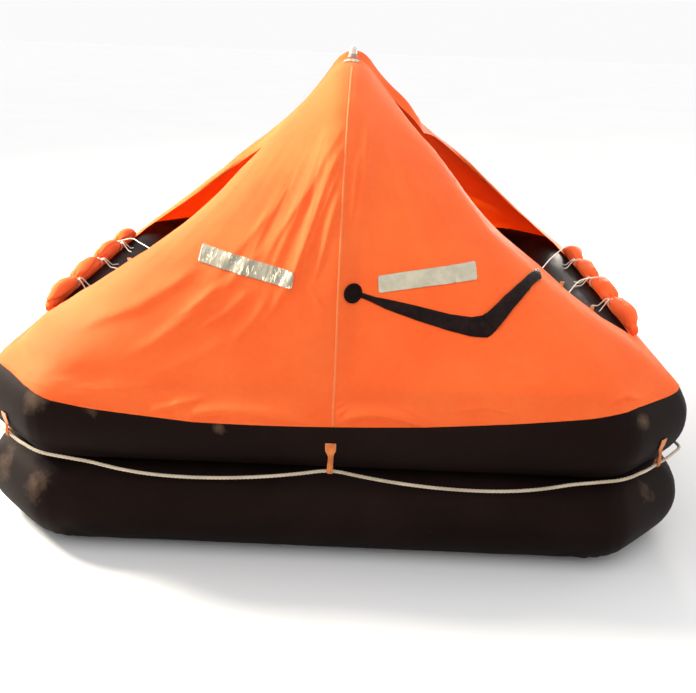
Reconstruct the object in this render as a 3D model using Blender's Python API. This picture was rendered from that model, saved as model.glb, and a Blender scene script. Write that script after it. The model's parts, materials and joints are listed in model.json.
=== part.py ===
"""Throw-over life raft: two stacked buoyancy tubes, an inflated arch and a canopy stretched over it.

Metres, +Z up. The near side is at -Y, the door openings face -X and +X, and the
origin is on the ground under the middle of the raft.
"""
import math

import bmesh
import bpy
import numpy as np
from mathutils import Vector
from mathutils.bvhtree import BVHTree

# Buoyancy tubes: an eight-cornered ring of straight mitred lengths, in plan
TUBE_R = 0.149
TUBE_SIDES = 24
HALF_WIDTH = 0.966
HALF_LENGTH = 1.200
CORNER_X = 0.153
CORNER_Y = 0.170
LOWER_Z = 0.1435
TUBE_STEP = 0.268
UPPER_Z = LOWER_Z + TUBE_STEP
WAIST_Z = (LOWER_Z + UPPER_Z) / 2
GAP = 0.0003

# Arch tube, in the plane X = 0, with its feet on the near and the far side
ARCH_R = 0.095
ARCH_SIDES = 20
ARCH_STEPS = 36
ARCH_HALF_SPAN = 1.16
ARCH_FOOT_Z = 0.46
ARCH_RISE = 0.857
CUTTER_HALF = 0.3

# Canopy cloth, and the rows and columns of its mesh
CLOTH = 0.004
CLOTH_CLEAR = 0.0024
ARCH_CLEAR = 0.0040
HEM_MIDDLE_DEG = 12.0
HEM_SIDE_DEG = 30.0
HEM_TILT_DEG = 9.0
LEAVE_MIDDLE_DEG = 46.0
LEAVE_CORNER_DEG = 56.0
SILL_DEG = 68.0
SILL_ROWS = 4
ROWS = 22
SILL_SHARE = 0.07
ROW_GRADING = 1.12
RELAX_ROUNDS = 500
BULGE = 2.4
BULGE_LOW = 0.6
SLOPE_LENGTH = 1.25
CREST_LENGTH = 0.75
COLUMN_X = (0.0, 0.025, 0.055, 0.09, 0.14, 0.20, 0.28, 0.37, 0.47, 0.58, 0.70)
CHAMFER_COLUMNS = 3
SIDE_COLUMNS = 3

MIRROR_Y = np.array([1.0, -1.0, 1.0])

# Door openings: a pointed gap on each side, widest a third of the way up, between sill and arch
DOOR_HALF = 0.700
DOOR_WIDEST_HALF = 0.800
DOOR_WIDEST_RUN = 0.300
DOOR_TOP_X = 0.290
DOOR_TOP_Z = 1.100
DOOR_SLOPE = 0.690
DOOR_LOW_SHARE = 0.28
DOOR_ROUND_POWER = 1.6

# Inflated floor: its edge follows the lower tube's inner side between these angles
FLOOR_ANGLES_DEG = (-120.0, -135.0, -150.0, -165.0)
POCKET_SIZE = (0.46, 0.38, 0.010)
POCKET_X = 0.40
POCKET_Y = 0.46
POCKET_BOTTOM = 0.003

# Rolled door flaps, tied at three places
ROLL_R = 0.031
ROLL_PINCH_R = 0.021
ROLL_END_R = 0.011
ROLL_HALF = 0.675
ROLL_PUFFS = 4
ROLL_SIDES = 14
ROLL_STEPS = 40
ROLL_DEG = 65.0
ROLL_BED = 0.0005

# Lifeline round the outside, and the webbing tabs that hold it
ROPE_R = 0.0055
ROPE_SIDE_RINGS = 2
ROPE_TAB = (0.136, 0.300)
ROPE_SAG = (0.122, 0.244)
ROPE_CORNER_OUT = 0.012
ROPE_CORNER_REACH = 0.10
ROPE_POINTS_BETWEEN = 8
ROPE_STRAIGHT_HALF = 0.020
ROPE_SPLICE_HALF = 0.001
TAB_WIDTH = 0.032
TAB_THICK = 0.003
TAB_TOP_DEG = -2.0
TAB_LEAVE_DEG = -22.0

# Fittings on the canopy, placed by X and Z on its near face
TAPE_LENGTH = 0.300
TAPE_WIDTH = 0.045
TAPE_THICK = 0.0012
TAPES = (("left", -0.284, 0.842, -8.9), ("right", 0.266, 0.834, 6.0))
RAIN_DISC_AT = (0.046, 0.797)
RAIN_DISC_R = 0.0265
RAIN_DISC_THICK = 0.006
SLEEVE_THICK = 0.003
# The rain sleeve's middle line, as X, Z and the width there
SLEEVE_ROUTE = (
    (0.078, 0.790, 0.014),
    (0.150, 0.768, 0.026),
    (0.240, 0.743, 0.036),
    (0.330, 0.722, 0.040),
    (0.400, 0.714, 0.046),
    (0.452, 0.736, 0.046),
    (0.522, 0.790, 0.040),
    (0.585, 0.832, 0.028),
)
SKIN_LIFT = 0.0012
ACROSS = (-1.0, -0.5, 0.0, 0.5, 1.0)
LIGHT_BASE_R = 0.036
LIGHT_DOME_R = 0.025
LIGHT_TALL = 0.056

# The ring's straight lengths, counted anticlockwise from the near right corner, and the far fittings
VALVE_R = 0.030
VALVE_TALL = 0.016
VALVE_ALONG = 0.070
PATCH_SIZE = (0.140, 0.006, 0.070)
FAR_RIGHT_LENGTH = 2
FAR_LENGTH = 3
FAR_LEFT_LENGTH = 4


def clear_scene():
    for item in list(bpy.data.objects):
        bpy.data.objects.remove(item, do_unlink=True)


def material(name, colour, roughness, metallic=0.0):
    made = bpy.data.materials.new(name)
    made.use_nodes = True
    shader = made.node_tree.nodes["Principled BSDF"]
    shader.inputs["Base Color"].default_value = (*colour, 1.0)
    shader.inputs["Roughness"].default_value = roughness
    shader.inputs["Metallic"].default_value = metallic
    return made


def add_object(name, mesh_data, finish, smooth_deg=40.0):
    """Turns a bmesh into a named object with outward faces."""
    bmesh.ops.recalc_face_normals(mesh_data, faces=mesh_data.faces)
    if mesh_data.calc_volume(signed=True) < 0:
        bmesh.ops.reverse_faces(mesh_data, faces=mesh_data.faces)
    mesh = bpy.data.meshes.new(name)
    mesh_data.to_mesh(mesh)
    mesh_data.free()
    mesh.materials.append(finish)
    mesh.shade_smooth()
    mesh.set_sharp_from_angle(angle=math.radians(smooth_deg))
    made = bpy.data.objects.new(name, mesh)
    bpy.context.scene.collection.objects.link(made)
    return made


def loft(rings, closed_path=False):
    """A bmesh through rings of points, joined one to the next, with flat caps on an open run."""
    mesh_data = bmesh.new()
    rows = [[mesh_data.verts.new(point) for point in ring] for ring in rings]
    pairs = list(zip(rows, rows[1:]))
    if closed_path:
        pairs.append((rows[-1], rows[0]))
    for lower, upper in pairs:
        for k in range(len(lower)):
            following = (k + 1) % len(lower)
            mesh_data.faces.new((lower[k], lower[following], upper[following], upper[k]))
    if not closed_path:
        mesh_data.faces.new(rows[0][::-1])
        mesh_data.faces.new(rows[-1])
    return mesh_data


def ring_corners():
    """The tube centreline's eight corners in plan, anticlockwise from the right end of the near length."""
    flat_x = HALF_WIDTH - CORNER_X
    flat_y = HALF_LENGTH - CORNER_Y
    quarter = [(flat_x, -HALF_LENGTH), (HALF_WIDTH, -flat_y)]
    right = quarter + [(x, -y) for x, y in reversed(quarter)]
    left = [(-x, -y) for x, y in right]
    return right + left


def unit(x, y):
    length = math.hypot(x, y)
    return x / length, y / length


def edge_normals():
    """The outward normal of each of the ring's eight straight lengths."""
    corners = ring_corners()
    normals = []
    for index, start in enumerate(corners):
        end = corners[(index + 1) % len(corners)]
        along = unit(end[0] - start[0], end[1] - start[1])
        normals.append((along[1], -along[0]))
    return normals


def mitred_plan(offset):
    """The ring's corners moved outward by an offset, so that each length stays straight."""
    corners = ring_corners()
    normals = edge_normals()
    moved = []
    for index, (x, y) in enumerate(corners):
        before = normals[index - 1]
        after = normals[index]
        share = offset / (1 + before[0] * after[0] + before[1] * after[1])
        moved.append((x + share * (before[0] + after[0]), y + share * (before[1] + after[1])))
    return moved


def tube_ring(name, centre_z, low, high, finish):
    """One buoyancy tube, pressed flat where it meets the ground or the other tube."""
    rings = [[] for _ in ring_corners()]
    for k in range(TUBE_SIDES):
        angle = 2 * math.pi * k / TUBE_SIDES
        height = min(max(centre_z + TUBE_R * math.sin(angle), low), high)
        for ring, (x, y) in zip(rings, mitred_plan(TUBE_R * math.cos(angle))):
            ring.append((x, y, height))
    return add_object(name, loft(rings, closed_path=True), finish, smooth_deg=30.0)


def arch_point(angle, out=0.0):
    """A point of the arch's centreline, moved out along its own normal."""
    y = -ARCH_HALF_SPAN * math.cos(angle)
    z = ARCH_FOOT_Z + ARCH_RISE * math.sin(angle)
    normal = unit(-ARCH_RISE * math.cos(angle), ARCH_HALF_SPAN * math.sin(angle))
    return y + out * normal[0], z + out * normal[1]


def make_arch(finish):
    """The inflated arch, cut to a saddle where each foot sits on the upper tube."""
    rings = []
    for step in range(ARCH_STEPS + 1):
        angle = math.pi * step / ARCH_STEPS
        ring = []
        for k in range(ARCH_SIDES):
            turn = 2 * math.pi * k / ARCH_SIDES
            y, z = arch_point(angle, ARCH_R * math.cos(turn))
            ring.append((ARCH_R * math.sin(turn), y, z))
        rings.append(ring)
    arch = add_object("arch_tube", loft(rings), finish)
    for side in (-1, 1):
        ends = []
        for x in (-CUTTER_HALF, CUTTER_HALF):
            ring = []
            for k in range(TUBE_SIDES):
                turn = 2 * math.pi * k / TUBE_SIDES
                out = (TUBE_R + GAP) * math.cos(turn)
                up = (TUBE_R + GAP) * math.sin(turn)
                ring.append((x, side * HALF_LENGTH + out, UPPER_Z + up))
            ends.append(ring)
        cutter = add_object("arch_foot_cutter_" + ("near" if side < 0 else "far"), loft(ends), finish)
        cutter.hide_render = True
        cutter.display_type = "WIRE"
        cut = arch.modifiers.new("foot saddle", "BOOLEAN")
        cut.operation = "DIFFERENCE"
        cut.object = cutter
    return arch


def make_floor(finish):
    rings = []
    for degrees in FLOOR_ANGLES_DEG:
        angle = math.radians(degrees)
        offset = (TUBE_R + GAP) * math.cos(angle)
        height = LOWER_Z + (TUBE_R + GAP) * math.sin(angle)
        rings.append([(x, y, height) for x, y in mitred_plan(offset)])
    return add_object("floor_mattress", loft(rings), finish)


def make_water_pockets(finish):
    """Four ballast bags, folded flat under the floor while the raft stands on the ground."""
    floor_bottom = LOWER_Z + (TUBE_R + GAP) * math.sin(math.radians(FLOOR_ANGLES_DEG[0]))
    thick = floor_bottom - GAP - POCKET_BOTTOM
    for index, (side_x, side_y) in enumerate(((-1, -1), (1, -1), (1, 1), (-1, 1))):
        mesh_data = bmesh.new()
        bmesh.ops.create_cube(mesh_data, size=1.0)
        bmesh.ops.scale(mesh_data, vec=(POCKET_SIZE[0], POCKET_SIZE[1], thick), verts=mesh_data.verts)
        upright = [e for e in mesh_data.edges if abs(e.verts[0].co.z - e.verts[1].co.z) > thick / 2]
        bmesh.ops.bevel(mesh_data, geom=upright, offset=0.03, segments=3, affect="EDGES")
        pocket = add_object(f"water_pocket_{index}", mesh_data, finish)
        pocket.location = (side_x * POCKET_X, side_y * POCKET_Y, POCKET_BOTTOM + thick / 2)


def hem_degrees(x, y):
    """How far above the tube's widest line the canopy's hem is glued, in degrees."""
    flat_x = HALF_WIDTH - CORNER_X
    across = max(-1.0, min(1.0, x / flat_x))
    fade = max(0.0, min(1.0, (abs(y) - DOOR_HALF) / (HALF_LENGTH - DOOR_HALF)))
    return HEM_MIDDLE_DEG + (HEM_SIDE_DEG - HEM_MIDDLE_DEG) * across**2 + HEM_TILT_DEG * across * fade


def leave_degrees(station):
    """Where a column of the canopy leaves the tube's skin, in degrees above its widest line."""
    length, at = station
    flat_x = HALF_WIDTH - CORNER_X
    flat_y = HALF_LENGTH - CORNER_Y
    if length == 0:
        return LEAVE_MIDDLE_DEG + (LEAVE_CORNER_DEG - LEAVE_MIDDLE_DEG) * at / flat_x
    if length == 1:
        return LEAVE_CORNER_DEG
    return LEAVE_CORNER_DEG + (SILL_DEG - LEAVE_CORNER_DEG) * (flat_y - at) / (flat_y - DOOR_HALF)


def hem_stations():
    """Columns of the near half, from the middle to the door, as (length and share along it)."""
    flat_x = HALF_WIDTH - CORNER_X
    flat_y = HALF_LENGTH - CORNER_Y
    stations = [(0, x) for x in COLUMN_X + (flat_x,)]
    stations += [(1, k / CHAMFER_COLUMNS) for k in range(1, CHAMFER_COLUMNS + 1)]
    stations += [(2, flat_y - (flat_y - DOOR_HALF) * k / SIDE_COLUMNS) for k in range(1, SIDE_COLUMNS + 1)]
    return stations


def on_tube(station, side, degrees, radius):
    """A point on the upper tube's skin, at a column of the near half on one side."""
    length, at = station
    angle = math.radians(degrees)
    offset = radius * math.cos(angle)
    height = UPPER_Z + radius * math.sin(angle)
    near_corner, side_corner = mitred_plan(offset)[:2]
    flat_x = HALF_WIDTH - CORNER_X
    if length == 0:
        return side * at * near_corner[0] / flat_x, near_corner[1], height
    if length == 1:
        x = near_corner[0] + at * (side_corner[0] - near_corner[0])
        y = near_corner[1] + at * (side_corner[1] - near_corner[1])
        return side * x, y, height
    return side * side_corner[0], -at, height


def station_plan(station, side):
    """A column's place on the tube's centreline, seen from above."""
    x, y, _ = on_tube(station, side, 90.0, TUBE_R)
    return x, y


def door_edge_point(share, side):
    """The door's near edge, from the sill (share 0) up to its pointed top (share 1)."""
    sill_x, _, sill_z = on_tube(hem_stations()[-1], 1, SILL_DEG, TUBE_R + GAP + CLOTH + CLOTH_CLEAR)
    full = sill_x - DOOR_TOP_X
    bend = ((DOOR_TOP_Z - sill_z) / full - DOOR_SLOPE) / full
    if share < DOOR_LOW_SHARE:
        run = DOOR_WIDEST_RUN * share / DOOR_LOW_SHARE
        short = 1 - run / DOOR_WIDEST_RUN
        half = DOOR_WIDEST_HALF - (DOOR_WIDEST_HALF - DOOR_HALF) * short * short
    else:
        turn = math.pi / 2 * (share - DOOR_LOW_SHARE) / (1 - DOOR_LOW_SHARE)
        run = DOOR_WIDEST_RUN + (full - DOOR_WIDEST_RUN) * math.sin(turn)
        half = DOOR_WIDEST_HALF * max(0.0, math.cos(turn)) ** DOOR_ROUND_POWER
    return side * (sill_x - run), -half, sill_z + run * (DOOR_SLOPE + bend * run)


def crest_point(share, side):
    """The canopy's line over the arch at Y = 0, from the top (share 0) to the door's top (share 1)."""
    radius = ARCH_R + GAP + CLOTH + ARCH_CLEAR
    centre_z = ARCH_FOOT_Z + ARCH_RISE
    below = math.atan2(centre_z - DOOR_TOP_Z, DOOR_TOP_X)
    leave = math.pi / 2 + below - math.acos(radius / math.hypot(DOOR_TOP_X, centre_z - DOOR_TOP_Z))
    leave_x = radius * math.sin(leave)
    leave_z = centre_z + radius * math.cos(leave)
    arc = radius * leave
    straight = math.hypot(DOOR_TOP_X - leave_x, DOOR_TOP_Z - leave_z)
    run = share * (arc + straight)
    if run <= arc:
        turn = run / radius
        return side * radius * math.sin(turn), 0.0, centre_z + radius * math.cos(turn)
    part = (run - arc) / straight
    return side * (leave_x + part * (DOOR_TOP_X - leave_x)), 0.0, leave_z + part * (DOOR_TOP_Z - leave_z)


def row_shares():
    """How far up the canopy each row lies: the sill's rows are close, and the rest widen slowly."""
    low = [SILL_SHARE * k / SILL_ROWS for k in range(SILL_ROWS + 1)]
    rest = ROWS - SILL_ROWS
    high = [SILL_SHARE + (1 - SILL_SHARE) * (k / rest) ** ROW_GRADING for k in range(1, rest + 1)]
    return np.array(low + high)


def push_off_tube(points, clearance):
    """Moves points out of the upper tube, whose mitred plan is the largest of its edges' distances."""
    normals = np.array(edge_normals())
    starts = np.array(ring_corners())
    reach = points[..., :2] @ normals.T - (normals * starts).sum(1)
    nearest = reach.argmax(-1)
    offset = reach.max(-1)
    height = points[..., 2] - UPPER_Z
    distance = np.hypot(offset, height)
    short = distance < clearance
    grow = np.where(short, clearance / np.maximum(distance, 1e-9), 1.0)
    points[..., :2] += (normals[nearest] * (offset * (grow - 1))[..., None])
    points[..., 2] = UPPER_Z + height * grow
    return points


def push_off_arch(points, clearance):
    """Moves points out of the arch tube."""
    line = np.array([arch_point(angle) for angle in np.linspace(0, math.pi, 181)])
    gap_y = points[..., 1, None] - line[:, 0]
    gap_z = points[..., 2, None] - line[:, 1]
    nearest = (gap_y**2 + gap_z**2).argmin(-1)
    centre = np.concatenate([np.zeros(nearest.shape + (1,)), line[nearest]], -1)
    away = points - centre
    distance = np.linalg.norm(away, axis=-1, keepdims=True)
    return np.where(distance < clearance, centre + away * clearance / np.maximum(distance, 1e-9), points)


def outward(grid):
    """The outward direction at each inner point of the near half's grid."""
    upper = np.concatenate([grid[2:], (grid[-2:-1] * MIRROR_Y)], 0)[:, 1:-1]
    normal = np.cross(grid[1:, 2:] - grid[1:, :-2], upper - grid[:-1, 1:-1])
    return normal / np.maximum(np.linalg.norm(normal, axis=-1, keepdims=True), 1e-9)


def canopy_half():
    """The near half's outer face: rows from hem to crest, columns from the left door to the right."""
    stations = hem_stations()
    shares = row_shares()
    skin = TUBE_R + GAP + CLOTH
    columns = [(station, -1) for station in reversed(stations)] + [(station, 1) for station in stations[1:]]
    middle = len(stations) - 1
    skirt = []
    for row in range(SILL_ROWS + 1):
        line = []
        for station, side in columns:
            hem_deg = hem_degrees(*station_plan(station, side))
            degrees = hem_deg + (leave_degrees(station) - hem_deg) * row / SILL_ROWS
            line.append(on_tube(station, side, degrees, skin + (CLOTH_CLEAR if row else 0)))
        skirt.append(line)
    skirt = np.array(skirt)
    hem = skirt[0]
    steps = np.linalg.norm(np.diff(hem, axis=0), axis=1)
    along = np.concatenate([[0], np.cumsum(steps)])
    across = (along - along[middle]) / (along[-1] - along[middle])
    crest = np.array([crest_point(abs(share), math.copysign(1, share)) for share in across])
    edges = []
    door_shares = (shares[SILL_ROWS + 1:] - SILL_SHARE) / (1 - SILL_SHARE)
    for side, column in ((-1, 0), (1, -1)):
        above = [door_edge_point(share, side) for share in door_shares]
        edges.append(np.concatenate([skirt[:, column], np.array(above)]))
    arch_clearance = ARCH_R + GAP + CLOTH + ARCH_CLEAR
    ridge = np.array([(0.0, *arch_point(share * math.pi / 2, arch_clearance)) for share in shares])
    ridge[0] = hem[middle]
    up = shares[:, None, None]
    off_ridge = np.abs(across)[None, :, None]
    door_edge = np.where((across < 0)[None, :, None], edges[0][:, None], edges[1][:, None])
    corner_hem = np.where((across < 0)[:, None], hem[0], hem[-1])
    corner_crest = np.where((across < 0)[:, None], crest[0], crest[-1])
    sides = (1 - off_ridge) * ridge[:, None] + off_ridge * door_edge
    ends = (1 - up) * hem[None] + up * crest[None]
    corners = (1 - off_ridge) * ((1 - up) * hem[middle] + up * crest[middle])
    corners = corners + off_ridge * ((1 - up) * corner_hem[None] + up * corner_crest[None])
    grid = sides + ends - corners
    for row in range(SILL_ROWS + 1):
        grid[row] = skirt[row]
    wide = np.linspace(along[-1], CREST_LENGTH, len(shares))
    column_gap = np.diff(across) / 2
    row_gap = np.diff(shares) * SLOPE_LENGTH
    clearance = skin + CLOTH_CLEAR
    below = row_gap[:, None]
    above = np.concatenate([row_gap[1:], row_gap[-1:]])[:, None]
    left_gap = column_gap[:-1][None] * wide[1:, None]
    right_gap = column_gap[1:][None] * wide[1:, None]
    row_weight_down = (left_gap + right_gap) / 2 / below
    row_weight_up = (left_gap + right_gap) / 2 / above
    column_weight_left = (below + above) / 2 / left_gap
    column_weight_right = (below + above) / 2 / right_gap
    total = row_weight_down + row_weight_up + column_weight_left + column_weight_right
    fullness = np.sin(math.pi * np.abs(across[1:-1])) ** 2
    fullness = fullness * np.sin(math.pi * shares[1:, None] ** BULGE_LOW)
    area = (below + above) * (left_gap + right_gap) / 4
    lift = (BULGE * fullness * area / total)[..., None]
    for _ in range(RELAX_ROUNDS):
        upper = np.concatenate([grid[2:], (grid[-2:-1] * MIRROR_Y)], 0)[:, 1:-1]
        moved = row_weight_down[..., None] * grid[:-1, 1:-1] + row_weight_up[..., None] * upper
        moved += column_weight_left[..., None] * grid[1:, :-2] + column_weight_right[..., None] * grid[1:, 2:]
        inner = moved / total[..., None] + lift * outward(grid)
        inner = push_off_arch(push_off_tube(inner, clearance), arch_clearance)
        inner[-1, :, 1] = 0.0
        grid[SILL_ROWS + 1:, 1:-1] = inner[SILL_ROWS:]
    return grid


def make_canopy(finish):
    """One cloth shell: the near half, its mirror image, and a strip under each door that joins them."""
    near = canopy_half()
    rows, columns = near.shape[:2]
    mesh_data = bmesh.new()
    near_verts = [[mesh_data.verts.new(point) for point in row] for row in near]
    far_verts = [[mesh_data.verts.new((x, -y, z)) for x, y, z in row] for row in near[:-1]]
    far_verts.append(near_verts[-1])
    for i in range(rows - 1):
        for j in range(columns - 1):
            for verts, a, b in ((near_verts, j, j + 1), (far_verts, j + 1, j)):
                mesh_data.faces.new((verts[i][a], verts[i][b], verts[i + 1][b], verts[i + 1][a]))
    for i in range(SILL_ROWS):
        for start, end, j in ((far_verts, near_verts, 0), (near_verts, far_verts, -1)):
            mesh_data.faces.new((start[i][j], end[i][j], end[i + 1][j], start[i + 1][j]))
    mesh_data.normal_update()
    outer = BVHTree.FromBMesh(mesh_data)
    canopy = add_object("canopy", mesh_data, finish, smooth_deg=60.0)
    wall = canopy.modifiers.new("cloth", "SOLIDIFY")
    wall.thickness = CLOTH
    wall.offset = -1.0
    return canopy, outer


def on_face(tree, x, z, side=-1):
    """The place on the canopy's near (or far) face at an X and Z, and the face's outward direction."""
    place, normal, _, _ = tree.ray_cast(Vector((x, side * 3.0, z)), Vector((0, -side, 0)))
    return place, normal if normal.y * side > 0 else -normal


def skin_patch(name, grid_xz, tree, thick, finish, side=-1):
    """A thin solid that lies on the canopy, from a grid of X and Z places."""
    found = [[on_face(tree, x, z, side) for x, z in row] for row in grid_xz]
    out = Vector((0, 0, 0))
    for row in found:
        for _, normal in row:
            out += normal
    out.normalize()
    rings = []
    for row in found:
        low = [place + out * SKIN_LIFT for place, _ in row]
        high = [place + out * (SKIN_LIFT + thick) for place, _ in row]
        rings.append(low + high[::-1])
    return add_object(name, loft(rings), finish)


def make_tapes(tree, finish):
    steps = 18
    for side, word in ((-1, "near"), (1, "far")):
        for label, x, z, turn in TAPES:
            angle = math.radians(turn)
            grid = []
            for k in range(steps + 1):
                along = TAPE_LENGTH * (k / steps - 0.5)
                row = []
                for up in ACROSS:
                    rise = TAPE_WIDTH * up / 2
                    row.append((x + along * math.cos(angle) - rise * math.sin(angle),
                                z + along * math.sin(angle) + rise * math.cos(angle)))
                grid.append(row)
            skin_patch(f"retro_tape_{word}_{label}", grid, tree, TAPE_THICK, finish, side)


def make_rain_collector(tree, finish):
    centre = RAIN_DISC_AT
    grid = []
    steps = 10
    for k in range(steps + 1):
        across = -math.cos(math.pi * k / steps)
        half = RAIN_DISC_R * math.sqrt(max(0.02, 1 - across * across))
        x = centre[0] + RAIN_DISC_R * across
        grid.append([(x, centre[1] + half * up) for up in ACROSS])
    skin_patch("rain_collector_disc", grid, tree, RAIN_DISC_THICK, finish)
    grid = []
    route = SLEEVE_ROUTE
    for index, (x, z, wide) in enumerate(route):
        before = route[max(0, index - 1)]
        after = route[min(len(route) - 1, index + 1)]
        along = unit(after[0] - before[0], after[1] - before[1])
        half = wide / 2
        grid.append([(x + along[1] * half * s, z - along[0] * half * s) for s in ACROSS])
    fine = []
    steps = 7
    for first, second in zip(grid, grid[1:]):
        for k in range(steps):
            part = k / steps
            row = [(a[0] + part * (b[0] - a[0]), a[1] + part * (b[1] - a[1])) for a, b in zip(first, second)]
            fine.append(row)
    fine.append(grid[-1])
    skin_patch("rain_sleeve", fine, tree, SLEEVE_THICK, finish)


def make_light(base_finish, dome_finish):
    """The lamp on the crest: a flange on the canopy and a clear dome on it."""
    top = ARCH_FOOT_Z + ARCH_RISE + ARCH_R + GAP + CLOTH + ARCH_CLEAR
    sides = 24
    base_low = top + GAP
    base_high = base_low + 0.010
    sizes = ((LIGHT_BASE_R, base_low), (LIGHT_BASE_R, base_low + 0.004), (LIGHT_DOME_R + 0.003, base_high))
    rings = []
    for radius, z in sizes:
        turns = [2 * math.pi * k / sides for k in range(sides)]
        rings.append([(radius * math.cos(t), radius * math.sin(t), z) for t in turns])
    add_object("light_base", loft(rings), base_finish)
    dome_low = base_high + GAP
    straight = top + LIGHT_TALL - dome_low - LIGHT_DOME_R
    rings = []
    for radius, z in ((LIGHT_DOME_R, dome_low), (LIGHT_DOME_R, dome_low + straight)):
        turns = [2 * math.pi * k / sides for k in range(sides)]
        rings.append([(radius * math.cos(t), radius * math.sin(t), z) for t in turns])
    for step in range(1, 6):
        tilt = math.radians(90 * step / 6)
        turns = [2 * math.pi * k / sides for k in range(sides)]
        z = dome_low + straight + LIGHT_DOME_R * math.sin(tilt)
        radius = LIGHT_DOME_R * math.cos(tilt)
        rings.append([(radius * math.cos(t), radius * math.sin(t), z) for t in turns])
    add_object("light_dome", loft(rings), dome_finish)


def roll_radius(share):
    """The rolled flap's radius along its length: a puff between each pair of ties, and thin ends."""
    puff = abs(math.sin(math.pi * ROLL_PUFFS * share)) ** 0.6
    radius = ROLL_PINCH_R + (ROLL_R - ROLL_PINCH_R) * puff
    end = min(share, 1 - share) * ROLL_PUFFS * 2
    return radius if end >= 1 else ROLL_END_R + (radius - ROLL_END_R) * math.sqrt(end)


def make_door_rolls(finish):
    angle = math.radians(ROLL_DEG)
    reach = TUBE_R + GAP + CLOTH + CLOTH_CLEAR + ROLL_R - ROLL_BED
    centre_x = HALF_WIDTH + reach * math.cos(angle)
    centre_z = UPPER_Z + reach * math.sin(angle)
    for side, word in ((-1, "left"), (1, "right")):
        rings = []
        for step in range(ROLL_STEPS + 1):
            share = step / ROLL_STEPS
            radius = roll_radius(share)
            drop = ROLL_R - radius
            x = side * (centre_x - drop * math.cos(angle))
            z = centre_z - drop * math.sin(angle)
            ring = []
            for k in range(ROLL_SIDES):
                turn = 2 * math.pi * k / ROLL_SIDES
                y = ROLL_HALF * (2 * share - 1)
                ring.append((x + radius * math.cos(turn), y, z + radius * math.sin(turn)))
            rings.append(ring)
        add_object(f"door_roll_{word}", loft(rings), finish)


def tab_stations():
    """Where the lifeline is held: the middle of each of the ring's eight straight lengths."""
    corners = ring_corners()
    normals = edge_normals()
    stations = []
    for index, start in enumerate(corners):
        end = corners[(index + 1) % len(corners)]
        middle = ((start[0] + end[0]) / 2, (start[1] + end[1]) / 2)
        stations.append((middle, normals[index]))
    return stations


def ribbon(route, thick, width):
    """Webbing of one thickness that follows a route in the plane of distance and height."""
    left, right = [], []
    for index, (a, b) in enumerate(route):
        before = route[max(0, index - 1)]
        after = route[min(len(route) - 1, index + 1)]
        along = unit(after[0] - before[0], after[1] - before[1])
        left.append((a - along[1] * thick / 2, b + along[0] * thick / 2))
        right.append((a + along[1] * thick / 2, b - along[0] * thick / 2))
    rings = []
    for (la, lb), (ra, rb) in zip(left, right):
        rings.append([(-width / 2, la, lb), (-width / 2, ra, rb), (width / 2, ra, rb), (width / 2, la, lb)])
    return loft(rings)


def set_on_length(made, station):
    """Stands an object, modelled with +Y outwards, at the middle of one of the ring's lengths."""
    middle, normal = station
    made.location = (middle[0], middle[1], 0.0)
    made.rotation_euler = (0.0, 0.0, math.atan2(normal[1], normal[0]) - math.pi / 2)


def tab_route():
    """Down the tube's skin, off it, and once round the rope."""
    skin = TUBE_R + GAP + TAB_THICK / 2
    route = []
    for k in range(4):
        angle = math.radians(TAB_TOP_DEG + (TAB_LEAVE_DEG - TAB_TOP_DEG) * k / 3)
        route.append((skin * math.cos(angle), UPPER_Z + skin * math.sin(angle)))
    loop = ROPE_R + 0.0008 + TAB_THICK / 2
    for degrees in (35, 0, -35, -70, -105, -140, -175, -210):
        angle = math.radians(degrees)
        route.append((ROPE_TAB[0] + loop * math.cos(angle), ROPE_TAB[1] + loop * math.sin(angle)))
    return route


def make_tabs(finish):
    for index, station in enumerate(tab_stations()):
        tab = add_object(f"lifeline_tab_{index}", ribbon(tab_route(), TAB_THICK, TAB_WIDTH), finish)
        set_on_length(tab, station)


def edge_lengths():
    corners = ring_corners()
    return [math.dist(start, end) for start, end in zip(corners, corners[1:] + corners[:1])]


def rope_places():
    """Distances round the centreline, from the far middle tab and back to it, where the rope has a point."""
    lengths = edge_lengths()
    tabs = [sum(lengths[:index]) + length / 2 for index, length in enumerate(lengths)]
    around = sum(lengths)
    order = [tabs[(FAR_LENGTH + k) % len(tabs)] for k in range(len(tabs) + 1)]
    places = [order[0] + ROPE_SPLICE_HALF]
    for start, end in zip(order, order[1:]):
        first = start + ROPE_STRAIGHT_HALF
        span = (end - start) % around - 2 * ROPE_STRAIGHT_HALF
        steps = ROPE_POINTS_BETWEEN + 1
        places += [(first + span * k / steps) % around for k in range(steps + 1)]
    places.append(order[-1] - ROPE_SPLICE_HALF)
    return places


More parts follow.
